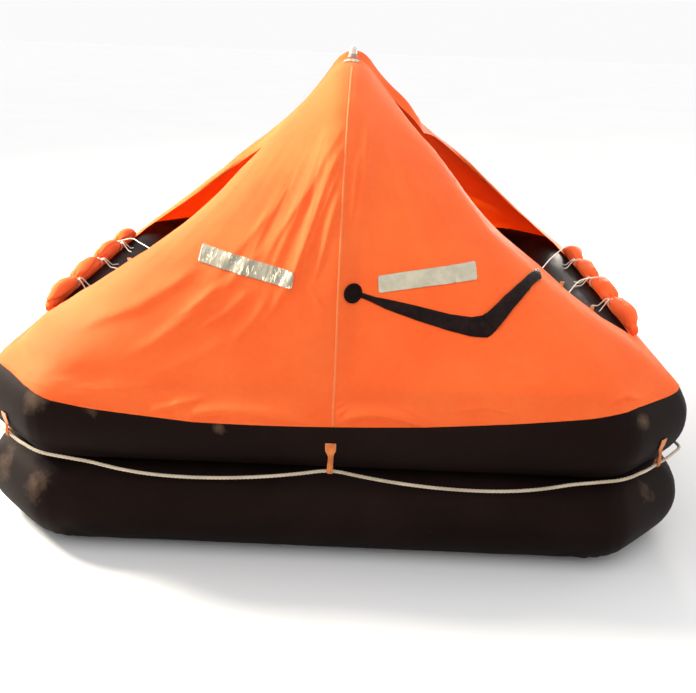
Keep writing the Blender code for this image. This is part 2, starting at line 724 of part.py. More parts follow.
def rope_point(place):
    """The lifeline at a distance round the centreline: straight in each tab, and sagging between them."""
    corners = ring_corners()
    normals = edge_normals()
    lengths = edge_lengths()
    edge = 0
    while place > lengths[edge]:
        place -= lengths[edge]
        edge += 1
    start = corners[edge]
    end = corners[(edge + 1) % len(corners)]
    part = place / lengths[edge]
    x = start[0] + part * (end[0] - start[0])
    y = start[1] + part * (end[1] - start[1])
    other = edge - 1 if part < 0.5 else (edge + 1) % len(corners)
    to_corner = min(place, lengths[edge] - place)
    blend = 0.5 * max(0.0, 1 - to_corner / ROPE_CORNER_REACH)
    nx = normals[edge][0] * (1 - blend) + normals[other][0] * blend
    ny = normals[edge][1] * (1 - blend) + normals[other][1] * blend
    nx, ny = unit(nx, ny)
    between = (lengths[edge] + lengths[other]) / 2 - 2 * ROPE_STRAIGHT_HALF
    from_tab = max(0.0, abs(place - lengths[edge] / 2) - ROPE_STRAIGHT_HALF)
    swing = 2 * from_tab / between - 1
    slack = 1 - swing * swing
    out = ROPE_TAB[0] + (ROPE_SAG[0] - ROPE_TAB[0]) * slack + ROPE_CORNER_OUT * 2 * blend
    height = ROPE_TAB[1] + (ROPE_SAG[1] - ROPE_TAB[1]) * slack
    return x + nx * out, y + ny * out, height


def make_lifeline(finish):
    curve = bpy.data.curves.new("lifeline", "CURVE")
    curve.dimensions = "3D"
    curve.bevel_depth = ROPE_R
    curve.bevel_resolution = ROPE_SIDE_RINGS
    curve.use_fill_caps = True
    line = curve.splines.new("POLY")
    places = rope_places()
    line.points.add(len(places) - 1)
    for point, place in zip(line.points, places):
        point.co = (*rope_point(place), 1.0)
    curve.materials.append(finish)
    rope = bpy.data.objects.new("lifeline", curve)
    bpy.context.scene.collection.objects.link(rope)


def make_far_fittings(rubber, metal):
    """Inflation valves on the far left corner, and the painter's patch on the far right one."""
    stations = tab_stations()
    sides = 20
    for word, along, z in (("upper", VALVE_ALONG, UPPER_Z), ("lower", -VALVE_ALONG, LOWER_Z)):
        rings = []
        sizes = ((VALVE_R, 0.0), (VALVE_R, VALVE_TALL * 0.6), (VALVE_R * 0.7, VALVE_TALL))
        for radius, out in sizes:
            turns = [2 * math.pi * k / sides for k in range(sides)]
            face = TUBE_R + GAP + out
            rings.append([(along + radius * math.cos(t), face, z + radius * math.sin(t)) for t in turns])
        valve = add_object(f"valve_{word}", loft(rings), metal)
        set_on_length(valve, stations[FAR_LEFT_LENGTH])
    mesh_data = bmesh.new()
    bmesh.ops.create_cube(mesh_data, size=1.0)
    bmesh.ops.scale(mesh_data, vec=PATCH_SIZE, verts=mesh_data.verts)
    bmesh.ops.translate(mesh_data, vec=(0, TUBE_R + GAP + PATCH_SIZE[1] / 2, LOWER_Z), verts=mesh_data.verts)
    set_on_length(add_object("painter_patch", mesh_data, rubber), stations[FAR_RIGHT_LENGTH])


def build():
    clear_scene()
    rubber = material("black_rubber", (0.012, 0.009, 0.009), 0.45)
    orange = material("orange_cloth", (0.90, 0.15, 0.045), 0.75)
    grey = material("grey_floor_cloth", (0.05, 0.05, 0.055), 0.7)
    webbing = material("orange_webbing", (0.55, 0.20, 0.06), 0.8)
    rope = material("white_rope", (0.72, 0.66, 0.54), 0.8)
    silver = material("retroreflective_tape", (0.62, 0.58, 0.50), 0.3)
    lamp = material("lamp_white", (0.85, 0.82, 0.76), 0.3)
    black_cloth = material("black_coated_cloth", (0.015, 0.010, 0.010), 0.5)
    metal = material("valve_metal", (0.35, 0.35, 0.36), 0.35, 1.0)
    tube_ring("lower_tube", LOWER_Z, 0.0, WAIST_Z - GAP / 2, rubber)
    tube_ring("upper_tube", UPPER_Z, WAIST_Z + GAP / 2, UPPER_Z + TUBE_R, rubber)
    make_arch(rubber)
    make_floor(grey)
    make_water_pockets(black_cloth)
    canopy, outer = make_canopy(orange)
    make_door_rolls(orange)
    make_tapes(outer, silver)
    make_rain_collector(outer, black_cloth)
    make_light(lamp, lamp)
    make_tabs(webbing)
    make_lifeline(rope)
    make_far_fittings(rubber, metal)


build()
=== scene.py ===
# %% [markdown]
# This lesson dresses a life raft: two stacked air tubes, an arch, and a cloth canopy stretched
# over it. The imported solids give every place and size, and each cell below puts the real surface
# around one of them: rubber, cloth, webbing, rope, tape.

# %% Load the frame
import json
import math

import bmesh
import bpy
import numpy as np
from mathutils import Matrix, Vector, noise
from mathutils.bvhtree import BVHTree
from mathutils.kdtree import KDTree

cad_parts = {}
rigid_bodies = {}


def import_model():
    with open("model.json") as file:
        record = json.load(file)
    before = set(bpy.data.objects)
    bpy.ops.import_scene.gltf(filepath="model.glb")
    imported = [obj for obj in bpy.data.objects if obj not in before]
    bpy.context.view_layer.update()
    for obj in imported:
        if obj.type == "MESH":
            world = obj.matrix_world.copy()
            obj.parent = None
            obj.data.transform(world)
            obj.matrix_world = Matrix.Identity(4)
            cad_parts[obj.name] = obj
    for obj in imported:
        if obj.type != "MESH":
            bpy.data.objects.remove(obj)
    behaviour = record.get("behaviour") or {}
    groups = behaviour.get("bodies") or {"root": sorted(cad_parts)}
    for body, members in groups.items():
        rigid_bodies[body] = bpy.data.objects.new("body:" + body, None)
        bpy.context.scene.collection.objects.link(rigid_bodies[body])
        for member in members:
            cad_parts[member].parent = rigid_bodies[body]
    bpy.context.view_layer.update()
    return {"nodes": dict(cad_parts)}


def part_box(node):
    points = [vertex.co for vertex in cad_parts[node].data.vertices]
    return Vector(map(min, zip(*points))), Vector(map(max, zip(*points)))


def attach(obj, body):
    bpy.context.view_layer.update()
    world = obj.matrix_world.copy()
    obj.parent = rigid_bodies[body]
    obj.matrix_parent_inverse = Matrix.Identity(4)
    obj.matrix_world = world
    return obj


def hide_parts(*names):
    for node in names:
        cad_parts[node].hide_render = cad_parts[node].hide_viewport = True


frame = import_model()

print("frame loaded:", len(frame["nodes"]), "nodes")

# %% [markdown]
# The camera stands where the photographer stood: at about eye height, a little over two and a half
# metres in front of the tubes, looking down. Its slight roll is part of the picture, so it is kept.

# %% Camera
CAMERA_PLACE = (0.0766, -4.0205, 1.5467)
CAMERA_DOWN_DEG = 17.78
CAMERA_YAW_DEG = -0.784
CAMERA_ROLL_DEG = 2.051
FOCAL_PIXELS = 1000.0
IMAGE_WIDTH_PIXELS = 696.0

camera_data = bpy.data.cameras.new("camera")
camera_data.lens = FOCAL_PIXELS * camera_data.sensor_width / IMAGE_WIDTH_PIXELS
camera = bpy.data.objects.new("camera", camera_data)
bpy.context.scene.collection.objects.link(camera)
turn = Matrix.Rotation(math.radians(-CAMERA_YAW_DEG), 4, "Z")
tilt = Matrix.Rotation(math.radians(90 - CAMERA_DOWN_DEG), 4, "X")
roll = Matrix.Rotation(math.radians(CAMERA_ROLL_DEG), 4, "Z")
camera.matrix_world = Matrix.Translation(CAMERA_PLACE) @ turn @ tilt @ roll
bpy.context.scene.camera = camera
bpy.context.scene.view_settings.view_transform = "Standard"
print("camera lens", round(camera_data.lens, 1), "mm")

# %% [markdown]
# Modelling by hand means choosing a few faces and acting on them. These helpers do the choosing:
# one makes a piece the only selected one, one opens it in edit mode, and one selects its faces,
# edges or vertices by where they are.

# %% Helpers for working on one piece
MERGE_GAP = 0.00005
QUAD_FLAT_DEG = 12
QUAD_SHAPE_DEG = 60


def only(piece):
    """Makes one piece the only selected one, in object mode."""
    if bpy.context.mode != "OBJECT":
        bpy.ops.object.mode_set(mode="OBJECT")
    bpy.ops.object.select_all(action="DESELECT")
    piece.select_set(True)
    bpy.context.view_layer.objects.active = piece


def edit(piece, kind="FACE"):
    """Opens a piece in edit mode with nothing selected."""
    only(piece)
    bpy.ops.object.mode_set(mode="EDIT")
    bpy.ops.mesh.select_mode(type=kind)
    bpy.ops.mesh.select_all(action="DESELECT")


def pick(piece, kind, test):
    """Selects the vertices, edges or faces that pass a test, and says how many."""
    shape = bmesh.from_edit_mesh(piece.data)
    items = {"VERT": shape.verts, "EDGE": shape.edges, "FACE": shape.faces}[kind]
    chosen = [item for item in items if test(item)]
    for item in chosen:
        item.select_set(True)
    bmesh.update_edit_mesh(piece.data)
    return len(chosen)


def leave_edit():
    bpy.ops.object.mode_set(mode="OBJECT")


def leave_outwards():
    """Turns every face of the open piece outwards, and leaves edit mode."""
    bpy.ops.mesh.select_all(action="SELECT")
    bpy.ops.mesh.normals_make_consistent(inside=False)
    leave_edit()


def modify(piece, kind, **settings):
    """Adds a modifier and applies it."""
    only(piece)
    made = piece.modifiers.new(kind.title(), kind)
    for name, value in settings.items():
        setattr(made, name, value)
    bpy.ops.object.modifier_apply(modifier=made.name)


def places(piece):
    """The piece's vertices as an array."""
    found = np.empty(len(piece.data.vertices) * 3)
    piece.data.vertices.foreach_get("co", found)
    return found.reshape(-1, 3)


def put_places(piece, points):
    piece.data.vertices.foreach_set("co", points.ravel())
    piece.data.update()


def outwards(piece):
    """Each vertex's outward direction as an array."""
    found = np.empty(len(piece.data.vertices) * 3)
    piece.data.vertices.foreach_get("normal", found)
    return found.reshape(-1, 3)


def smoothstep(value, low, high):
    part = np.clip((value - low) / (high - low), 0.0, 1.0)
    return part * part * (3 - 2 * part)


def copy_of(node, name):
    """A merged copy of a solid, with quads in place of its loose triangles."""
    piece = bpy.data.objects.new(name, frame["nodes"][node].data.copy())
    bpy.context.scene.collection.objects.link(piece)
    piece.data.materials.clear()
    edit(piece)
    bpy.ops.mesh.select_all(action="SELECT")
    bpy.ops.mesh.remove_doubles(threshold=MERGE_GAP)
    bpy.ops.mesh.tris_convert_to_quads(face_threshold=math.radians(QUAD_FLAT_DEG),
                                       shape_threshold=math.radians(QUAD_SHAPE_DEG))
    leave_outwards()
    return piece


def seat(piece, name, slot, finish, *nodes, angle=None):
    """Finishes a piece: its place in its mesh, its name, its finish and what it stands for."""
    only(piece)
    bpy.ops.object.transform_apply(location=True, rotation=True, scale=True)
    bpy.ops.object.shade_smooth()
    if angle is not None:
        bpy.ops.object.shade_smooth_by_angle(angle=math.radians(angle))
    piece.name = name
    piece.data.name = name
    piece.data.materials.clear()
    piece.data.materials.append(finish)
    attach(piece, "root")
    if nodes:
        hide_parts(*nodes)
    print(name, len(piece.data.polygons), "faces")
    return piece


# %% [markdown]
# Every finish here is a Principled shader with procedural detail on top. Two small helpers keep
# the node code short: one adds a node and joins its inputs, one makes a colour ramp.

# %% Helpers for finishes
def new_finish(name, **sockets):
    """A material with its constants on the shader itself, and the Object coordinates it reads."""
    made = bpy.data.materials.new(name)
    made.use_nodes = True
    tree = made.node_tree
    shader = tree.nodes["Principled BSDF"]
    for socket, value in sockets.items():
        shader.inputs[socket.replace("_", " ")].default_value = value
    where = tree.nodes.new("ShaderNodeTexCoord").outputs["Object"]
    return made, tree, shader, where


def add(tree, kind, inputs, **settings):
    """Adds a node, sets it up and joins or fills its inputs."""
    made = tree.nodes.new(kind)
    for name, value in settings.items():
        setattr(made, name, value)
    for name, value in inputs.items():
        if isinstance(value, bpy.types.NodeSocket):
            tree.links.new(value, made.inputs[name])
        else:
            made.inputs[name].default_value = value
    return made


def ramp(tree, factor, *stops):
    """A colour ramp through (place, grey or colour) stops."""
    made = add(tree, "ShaderNodeValToRGB", {"Fac": factor})
    band = made.color_ramp
    while len(band.elements) < len(stops):
        band.elements.new(0.5)
    for element, (place, colour) in zip(band.elements, stops):
        element.position = place
        element.color = (*colour, 1.0) if isinstance(colour, tuple) else (colour, colour, colour, 1.0)
    return made.outputs["Color"]


def blend_colour(tree, factor, first, second):
    made = tree.nodes.new("ShaderNodeMix")
    made.data_type = "RGBA"
    for index, value in ((0, factor), (6, first), (7, second)):
        if isinstance(value, bpy.types.NodeSocket):
            tree.links.new(value, made.inputs[index])
        else:
            made.inputs[index].default_value = value
    return made.outputs[2]


def grain(tree, where, scale, detail=4.0, rough=0.6, distortion=0.0):
    made = add(tree, "ShaderNodeTexNoise", {
        "Vector": where, "Scale": scale, "Detail": detail, "Roughness": rough, "Distortion": distortion})
    return made.outputs["Fac"]


def maths(tree, operation, first, second=0.0, clamp=False):
    made = tree.nodes.new("ShaderNodeMath")
    made.operation = operation
    made.use_clamp = clamp
    for index, value in ((0, first), (1, second)):
        if isinstance(value, bpy.types.NodeSocket):
            tree.links.new(value, made.inputs[index])
        else:
            made.inputs[index].default_value = value
    return made.outputs[0]


def bumps(tree, shader, *layers):
    """Chains bump layers, each a (height, strength, distance in metres), into the shader's normal."""
    last = None
    for height, strength, distance in layers:
        inputs = {"Height": height, "Strength": strength, "Distance": distance}
        if last is not None:
            inputs["Normal"] = last
        last = add(tree, "ShaderNodeBump", inputs).outputs["Normal"]
    tree.links.new(last, shader.inputs["Normal"])


def weave(tree, where, thread):
    """The height of a plain weave whose threads are this wide."""
    scale = math.pi / 10 / (2 * thread)
    over = add(tree, "ShaderNodeTexWave", {"Vector": where, "Scale": scale}, bands_direction="X")
    under = add(tree, "ShaderNodeTexWave", {"Vector": where, "Scale": scale}, bands_direction="Z")
    return maths(tree, "MULTIPLY", over.outputs["Fac"], under.outputs["Fac"])


# %% [markdown]
# The tubes are black coated fabric: almost no colour of their own, a satin skin, and pale brown
# scuffs where it rubs against the ground and other things. Each scuff is a place on the skin and
# how far it reaches, broken up by noise, so it stays where it is whatever the view.

# %% Black tube fabric
SCUFFS = (
    # x, y, z and reach
    (-0.88, -1.31, 0.205, 0.095),
    (-1.03, -1.15, 0.20, 0.10),
    (1.00, -1.24, 0.24, 0.09),
    (-0.865, -1.295, 0.475, 0.085),
    (0.915, -1.29, 0.48, 0.045),
    (-0.70, -1.345, 0.47, 0.05),
    (-0.325, -1.345, 0.425, 0.036),
)


def tube_fabric():
    finish, tree, shader, where = new_finish("tube_fabric", Roughness=0.6, Specular_IOR_Level=0.06,
                                             Specular_Tint=(1.0, 0.60, 0.50, 1))
    cloudy = grain(tree, where, 2.6, detail=6.0)
    streaks = grain(tree, where, 14.0, detail=8.0, rough=0.7)
    dust = ramp(tree, cloudy, (0.42, 0.0), (0.78, 0.55))
    scuff = None
    for x, y, z, reach in SCUFFS:
        away = add(tree, "ShaderNodeVectorMath", {0: where, 1: (x, y, z)}, operation="DISTANCE")
        share = maths(tree, "DIVIDE", away.outputs["Value"], reach)
        close = maths(tree, "SUBTRACT", 1.0, share, clamp=True)
        scuff = close if scuff is None else maths(tree, "MAXIMUM", scuff, close)
    scuff = maths(tree, "ADD", maths(tree, "MULTIPLY", scuff, 0.45), maths(tree, "MULTIPLY", streaks, 0.9))
    scuff = ramp(tree, scuff, (0.62, 0.0), (0.90, 0.62))
    base = blend_colour(tree, dust, (0.0050, 0.0028, 0.0026, 1), (0.0140, 0.0085, 0.0074, 1))
    base = blend_colour(tree, scuff, base, (0.105, 0.066, 0.045, 1))
    tree.links.new(base, shader.inputs["Base Color"])
    rough = ramp(tree, cloudy, (0.3, 0.52), (0.7, 0.68))
    tree.links.new(rough, shader.inputs["Roughness"])
    bumps(tree, shader, (grain(tree, where, 420.0, detail=2.0), 0.12, 0.0006),
          (grain(tree, where, 9.0, detail=5.0), 0.25, 0.004))
    return finish


rubber = tube_fabric()

# %% [markdown]
# The canopy is thin orange cloth with a coating. Light comes through it, which is why the inside
# of a real raft glows red. Subsurface scattering does that on a sheet with two sides. The weave is
# finer than a pixel, so it is a faint bump and never a visible pattern from a few steps away.

# %% Orange canopy cloth
ORANGE = (0.93, 0.128, 0.031, 1)
ORANGE_DEEP = (0.86, 0.095, 0.022, 1)


def orange_cloth(name, deep=ORANGE_DEEP, pale=ORANGE):
    finish, tree, shader, where = new_finish(
        name, Roughness=0.78, Specular_IOR_Level=0.10, Specular_Tint=(1.0, 0.62, 0.35, 1),
        Subsurface_Weight=0.45, Subsurface_Scale=0.014, Subsurface_Radius=(1.0, 0.35, 0.12))
    patchy = grain(tree, where, 3.2, detail=5.0)
    fine = grain(tree, where, 60.0, detail=3.0)
    mottle = maths(tree, "ADD", maths(tree, "MULTIPLY", patchy, 0.75), maths(tree, "MULTIPLY", fine, 0.25))
    shade = ramp(tree, mottle, (0.35, 0.0), (0.65, 1.0))
    tree.links.new(blend_colour(tree, shade, deep, pale), shader.inputs["Base Color"])
    tree.links.new(ramp(tree, fine, (0.3, 0.66), (0.7, 0.80)), shader.inputs["Roughness"])
    bumps(tree, shader, (weave(tree, where, 0.0007), 0.10, 0.0003),
          (grain(tree, where, 34.0, detail=6.0), 0.22, 0.0016))
    return finish


cloth = orange_cloth("canopy_cloth")

# %% [markdown]
# Each tube starts as its solid: eight straight lengths with sharp mitres. A real tube is glued up
# from the same lengths, but air pressure rounds the mitres. So the mitre edges are bevelled, the
# long faces are cut into short ones, and one level of subdivision rounds the section. Small
# puckers at each mitre are made by code, because they follow a rule.

# %% Tube sizes, worked out from the frame
TUBE_R = 0.149
CORNER_CUT_X = 0.153
CORNER_CUT_Y = 0.170
# The lower tube is pressed flat at the floor and at the waist, so its middle isn't at half its height
MIDDLE_ABOVE_HALF = 0.0048
tube_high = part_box("upper_tube")[1]
HALF_WIDTH = tube_high.x - TUBE_R
HALF_LENGTH = tube_high.y - TUBE_R
UPPER_Z = tube_high.z - TUBE_R
LOWER_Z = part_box("lower_tube")[1].z / 2 + MIDDLE_ABOVE_HALF
print("tube centres at z", round(LOWER_Z, 4), round(UPPER_Z, 4))


# %% Rounded tubes
MITRE_ROUND = 0.050
MITRE_STEPS = 4
MITRE_EDGE_BELOW = 0.06
LONG_EDGE_ABOVE = 0.5
LENGTH_CUTS = 28
PUCKER = 0.0022
PUCKER_REACH = 0.085
PUCKER_WIDTH = 0.034
PUCKER_INNER = 0.12
FLOOR_CLEAR = 0.0004


def ring_corners():
    """The tube centreline's corners, anticlockwise from the right end of the near length."""
    flat_x = HALF_WIDTH - CORNER_CUT_X
    flat_y = HALF_LENGTH - CORNER_CUT_Y
    quarter = [(flat_x, -HALF_LENGTH), (HALF_WIDTH, -flat_y)]
    right = quarter + [(x, -y) for x, y in reversed(quarter)]
    return right + [(-x, -y) for x, y in right]


def pucker(piece):
    """Small ripples round each mitre, strongest on the tube's inner side."""
    points = places(piece)
    outward = outwards(piece)
    corners = np.array(ring_corners())
    for index, corner in enumerate(corners):
        middle = (corners[index - 1] + corners[(index + 1) % 8]) / 2
        inward = (middle - corner) / np.linalg.norm(middle - corner)
        along = np.array([-inward[1], inward[0]])
        offset = points[:, :2] - corner
        side = offset @ along
        depth = offset @ inward
        near = np.exp(-(side / PUCKER_REACH) ** 2) * smoothstep(depth, -PUCKER_INNER, PUCKER_INNER)
        wave = np.sin(side * 2 * math.pi / PUCKER_WIDTH + 9 * points[:, 2]) * near
        points += outward * (PUCKER * wave)[:, None]
    put_places(piece, points)


def round_tube(node):
    piece = copy_of(node, node + "_skin")
    edit(piece, "EDGE")
    mitres = pick(piece, "EDGE", lambda e: e.calc_length() < MITRE_EDGE_BELOW)
    bpy.ops.mesh.bevel(offset=MITRE_ROUND, offset_type="OFFSET", segments=MITRE_STEPS, affect="EDGES")
    bpy.ops.mesh.select_all(action="DESELECT")
    pick(piece, "EDGE", lambda e: e.calc_length() > LONG_EDGE_ABOVE)
    bpy.ops.mesh.subdivide(number_cuts=LENGTH_CUTS)
    leave_edit()
    modify(piece, "SUBSURF", levels=1, render_levels=1)
    pucker(piece)
    print(node, mitres, "mitre edges rounded")
    return piece


lower_skin = round_tube("lower_tube")
points = places(lower_skin)
points[:, 2] = np.maximum(points[:, 2], FLOOR_CLEAR)
put_places(lower_skin, points)
upper_skin = round_tube("upper_tube")
seat(lower_skin, "lower_tube_skin", "black_rubber", rubber, "lower_tube")
seat(upper_skin, "upper_tube_skin", "black_rubber", rubber, "upper_tube")

# %% [markdown]
# The arch is one more tube, standing on the upper ring. It shows through the doors, so a merged
# and smoothed copy of its solid is enough.

# %% Arch
arch_skin = copy_of("arch_tube", "arch_tube_skin")
seat(arch_skin, "arch_tube_skin", "black_rubber", rubber, "arch_tube", angle=40)

# %% [markdown]
# The canopy's solid has a true wall thickness. Its outer layer is kept as the sheet: the thin rim
# faces are deleted, then the layer that the highest vertex belongs to is kept. Subdivision makes
# the panels curve between the rows.

# %% Canopy sheet
RIM_EDGE = 0.0046
canopy = copy_of("canopy", "canopy_skin")
edit(canopy)
pick(canopy, "FACE", lambda f: min(e.calc_length() for e in f.edges) < RIM_EDGE)
bpy.ops.mesh.delete(type="FACE")
bpy.ops.mesh.select_mode(type="VERT")
top = max(v.co.z for v in bmesh.from_edit_mesh(canopy.data).verts)
pick(canopy, "VERT", lambda v: v.co.z > top - 0.0005)
bpy.ops.mesh.select_linked()
bpy.ops.mesh.select_all(action="INVERT")
bpy.ops.mesh.delete(type="VERT")
leave_edit()
print("canopy sheet has", len(canopy.data.polygons), "faces before subdivision")
modify(canopy, "SUBSURF", levels=2, render_levels=2)
print("canopy sheet has", len(canopy.data.polygons), "faces")

# %% [markdown]
# The folds are what make the sheet read as cloth. Each is a line on the near face, given by X and
# Z, with a height and a width to either side: a fold is steep on one side and soft on the other.
# Lines run downwards, so the first width is to their left and the second to their right. The
# far face has the same folds, turned about, but only the near ones get finer faces beside their
# lines, which keeps them crisp where the camera looks.

# %% Folds of the near face
FOLDS = (
    # points as (x, z), height, left width, right width
    (((0.004, 1.262), (-0.089, 1.083), (-0.166, 0.920), (-0.229, 0.787)), 0.011, 0.040, 0.013),
    (((0.003, 1.205), (-0.036, 1.110), (-0.101, 0.911), (-0.158, 0.766)), 0.013, 0.024, 0.010),
    (((-0.004, 1.136), (-0.050, 1.016), (-0.092, 0.887), (-0.118, 0.800)), 0.006, 0.014, 0.007),
    (((-0.005, 1.072), (-0.047, 0.892), (-0.079, 0.790)), 0.006, 0.013, 0.007),
    (((0.072, 1.300), (0.062, 1.110), (0.050, 0.961), (0.040, 0.860)), 0.012, 0.014, 0.020),
    (((0.046, 1.176), (0.036, 1.060), (0.030, 0.962)), 0.005, 0.009, 0.008),
    (((-0.088, 1.073), (-0.180, 0.944), (-0.235, 0.850)), 0.006, 0.020, 0.009),
    (((-0.164, 1.085), (-0.225, 0.975), (-0.275, 0.870)), 0.006, 0.022, 0.009),
    (((-0.205, 1.010), (-0.300, 0.905), (-0.390, 0.800)), 0.005, 0.022, 0.010),
    (((-0.060, 0.960), (-0.118, 0.850), (-0.185, 0.742), (-0.240, 0.680)), 0.006, 0.018, 0.008),
    (((-0.225, 0.905), (-0.330, 0.800), (-0.430, 0.735), (-0.520, 0.690)), 0.006, 0.018, 0.010),
    (((-0.250, 0.790), (-0.330, 0.725), (-0.420, 0.675)), 0.006, 0.016, 0.009),
    (((-0.330, 0.830), (-0.437, 0.710), (-0.535, 0.640), (-0.632, 0.588)), 0.009, 0.022, 0.012),
    (((-0.400, 0.860), (-0.592, 0.728), (-0.717, 0.682), (-0.813, 0.640)), 0.009, 0.026, 0.013),
    (((-0.200, 0.770), (-0.260, 0.690), (-0.330, 0.620)), 0.006, 0.018, 0.009),
    (((-0.300, 0.665), (-0.420, 0.600), (-0.540, 0.555)), 0.005, 0.022, 0.012),
    (((-0.090, 0.820), (-0.040, 0.750)), 0.003, 0.010, 0.008),
    (((0.110, 1.215), (0.168, 1.070), (0.225, 0.930), (0.262, 0.820)), 0.005, 0.016, 0.022),
    (((0.168, 1.190), (0.240, 1.060), (0.305, 0.940), (0.345, 0.850)), 0.005, 0.018, 0.022),
    (((0.255, 1.100), (0.325, 0.990), (0.390, 0.900)), 0.004, 0.016, 0.020),
)
# Wrinkles along the hem run to the right, so the first width is below them and the second above
HEM_WRINKLES = (
    (((-0.530, 0.462), (-0.404, 0.497)), 0.009, 0.006, 0.012),
    (((-0.470, 0.482), (-0.360, 0.512)), 0.006, 0.006, 0.014),
    (((-0.460, 0.458), (-0.306, 0.476), (-0.190, 0.472), (-0.030, 0.446)), 0.021, 0.006, 0.022),
    (((0.009, 0.456), (0.060, 0.474), (0.122, 0.480), (0.190, 0.475), (0.310, 0.448)), 0.021, 0.006, 0.022),
    (((0.180, 0.512), (0.250, 0.486), (0.330, 0.456)), 0.005, 0.007, 0.012),
    (((0.011, 0.474), (0.052, 0.503)), 0.005, 0.006, 0.008),
    (((0.011, 0.500), (0.036, 0.512)), 0.003, 0.005, 0.006),
    (((0.340, 0.500), (0.453, 0.513), (0.556, 0.495)), 0.010, 0.007, 0.014),
    (((0.801, 0.531), (0.856, 0.542), (0.921, 0.524)), 0.010, 0.005, 0.012),
    (((0.457, 0.580), (0.674, 0.572), (0.796, 0.552)), 0.014, 0.018, 0.028),
    (((0.426, 0.632), (0.594, 0.610), (0.717, 0.582)), 0.014, 0.018, 0.028),
    (((0.520, 0.530), (0.650, 0.536), (0.760, 0.528)), 0.006, 0.012, 0.018),
    (((-0.700, 0.520), (-0.560, 0.530), (-0.420, 0.560)), 0.005, 0.016, 0.026),
)
# The cloth between the folds has soft streaks that fan out from under the lamp, and a broad unevenness
STREAK_APEX_Z = 1.47
STREAKS_ROUND = 8.0
STREAK_HEIGHT = 0.0050
STREAKS_FROM_Z = (0.58, 0.80)
STREAKS_TO_Z = (1.30, 1.05)
BROAD_HEIGHT = 0.0045
BROAD_SCALE = 3.4
SMALL_HEIGHT = 0.0014
SMALL_SCALE = 13.0
FINE_REACH = (0.019, 0.0095)
FINE_BEFORE_Y = -0.25
FACE_STARTS = (0.12, 0.34)
print(len(FOLDS), "folds and", len(HEM_WRINKLES), "wrinkles")


# %% How a fold lifts the cloth
def beside_fold(flat, fold):
    """Each (x, z) place's signed distance from a fold's line, and its share of the way along it."""
    line = np.array(fold[0])
    lengths = np.linalg.norm(np.diff(line, axis=0), axis=1)
    starts = np.concatenate([[0], np.cumsum(lengths)])
    best = np.full(len(flat), 1e9)
    signed = np.zeros(len(flat))
    share = np.zeros(len(flat))
    for index, length in enumerate(lengths):
        start = line[index]
        along = (line[index + 1] - start) / length
        offset = flat - start
        run = np.clip(offset @ along, 0, length)
        gap = offset - run[:, None] * along
        distance = np.linalg.norm(gap, axis=1)
        closer = distance < best
        side = along[0] * offset[:, 1] - along[1] * offset[:, 0]
        best = np.where(closer, distance, best)
        signed = np.where(closer, np.sign(side) * distance, signed)
        share = np.where(closer, (starts[index] + run) / starts[-1], share)
    return signed, share


def fold_height(flat, fold):
    """How high a fold lifts each (x, z) place: a ridge that fades out at both ends of its line."""
    signed, share = beside_fold(flat, fold)
    width = np.where(signed < 0, fold[2], fold[3])
    fade = smoothstep(share, -0.02, 0.22) * smoothstep(share, 1.02, 0.62)
    return fold[1] * fade * np.exp(-(signed / width) ** 2)


def cloth_noise(points, scale, seed):
    """Smooth noise at each place, the same on every run."""
    shift = Vector((seed * 7.3, seed * 3.1, seed * 5.7))
    return np.array([noise.noise(Vector(point) * scale + shift) for point in points])


# %% Cut the sheet finer and fold it
for reach in FINE_REACH:
    middles = np.array([face.center for face in canopy.data.polygons])
    gaps = [np.abs(beside_fold(middles[:, [0, 2]], fold)[0]) for fold in FOLDS + HEM_WRINKLES]
    chosen = set(np.nonzero((np.min(gaps, axis=0) < reach) & (middles[:, 1] < FINE_BEFORE_Y))[0])
    edit(canopy)
    pick(canopy, "FACE", lambda f: f.index in chosen)
    bpy.ops.mesh.subdivide(number_cuts=1, smoothness=0.0, ngon=False)
    leave_edit()
print("canopy sheet has", len(canopy.data.polygons), "faces with the finer ones along the folds")
points = places(canopy)
outward = outwards(canopy)
near_face = smoothstep(-points[:, 1], *FACE_STARTS)
far_face = smoothstep(points[:, 1], *FACE_STARTS)
lift = np.zeros(len(points))
for fold in FOLDS + HEM_WRINKLES:
    lift += near_face * fold_height(points[:, [0, 2]], fold)
    mirrored = points[:, [0, 2]] * np.array([-1.0, 1.0])
    lift += far_face * fold_height(mirrored, fold)
free = smoothstep(points[:, 2], UPPER_Z + 0.10, UPPER_Z + 0.26)
heading = np.arctan2(points[:, 0], STREAK_APEX_Z - points[:, 2])
streak = np.array([noise.noise(Vector((STREAKS_ROUND * a, 0.8 * p[2], 4.0 * np.sign(p[1]))))
                   for a, p in zip(heading, points)])
finer = np.array([noise.noise(Vector((2.3 * STREAKS_ROUND * a, 1.1 * p[2], 9.0)))
                  for a, p in zip(heading, points)])
streak = np.abs(streak) - 0.5 * np.abs(finer)
left = 0.30 + 0.70 * smoothstep(-points[:, 0] * np.sign(-points[:, 1]), -0.05, 0.12)
drape = smoothstep(points[:, 2], *STREAKS_FROM_Z) * smoothstep(points[:, 2], *STREAKS_TO_Z)
lift -= STREAK_HEIGHT * streak * left * drape * np.maximum(near_face, far_face)
lift += free * BROAD_HEIGHT * cloth_noise(points, BROAD_SCALE, 1)
lift += free * SMALL_HEIGHT * cloth_noise(points, SMALL_SCALE, 2)
put_places(canopy, points + outward * lift[:, None])
print("folds move the sheet by up to", round(float(np.abs(lift).max()) * 1000, 1), "mm")

# %% [markdown]
# Round the doors the real cloth hangs lower than a stretched sheet would, so that each near edge
# shows as a crisp line. The far edges stand up instead, the right one most, and the right door
# reaches higher up the arch. Each vertex is moved by a rule on its distance to the door's edge,
# which is the sheet's own open edge. The cloth also stands up under the lamp and behind the crest.

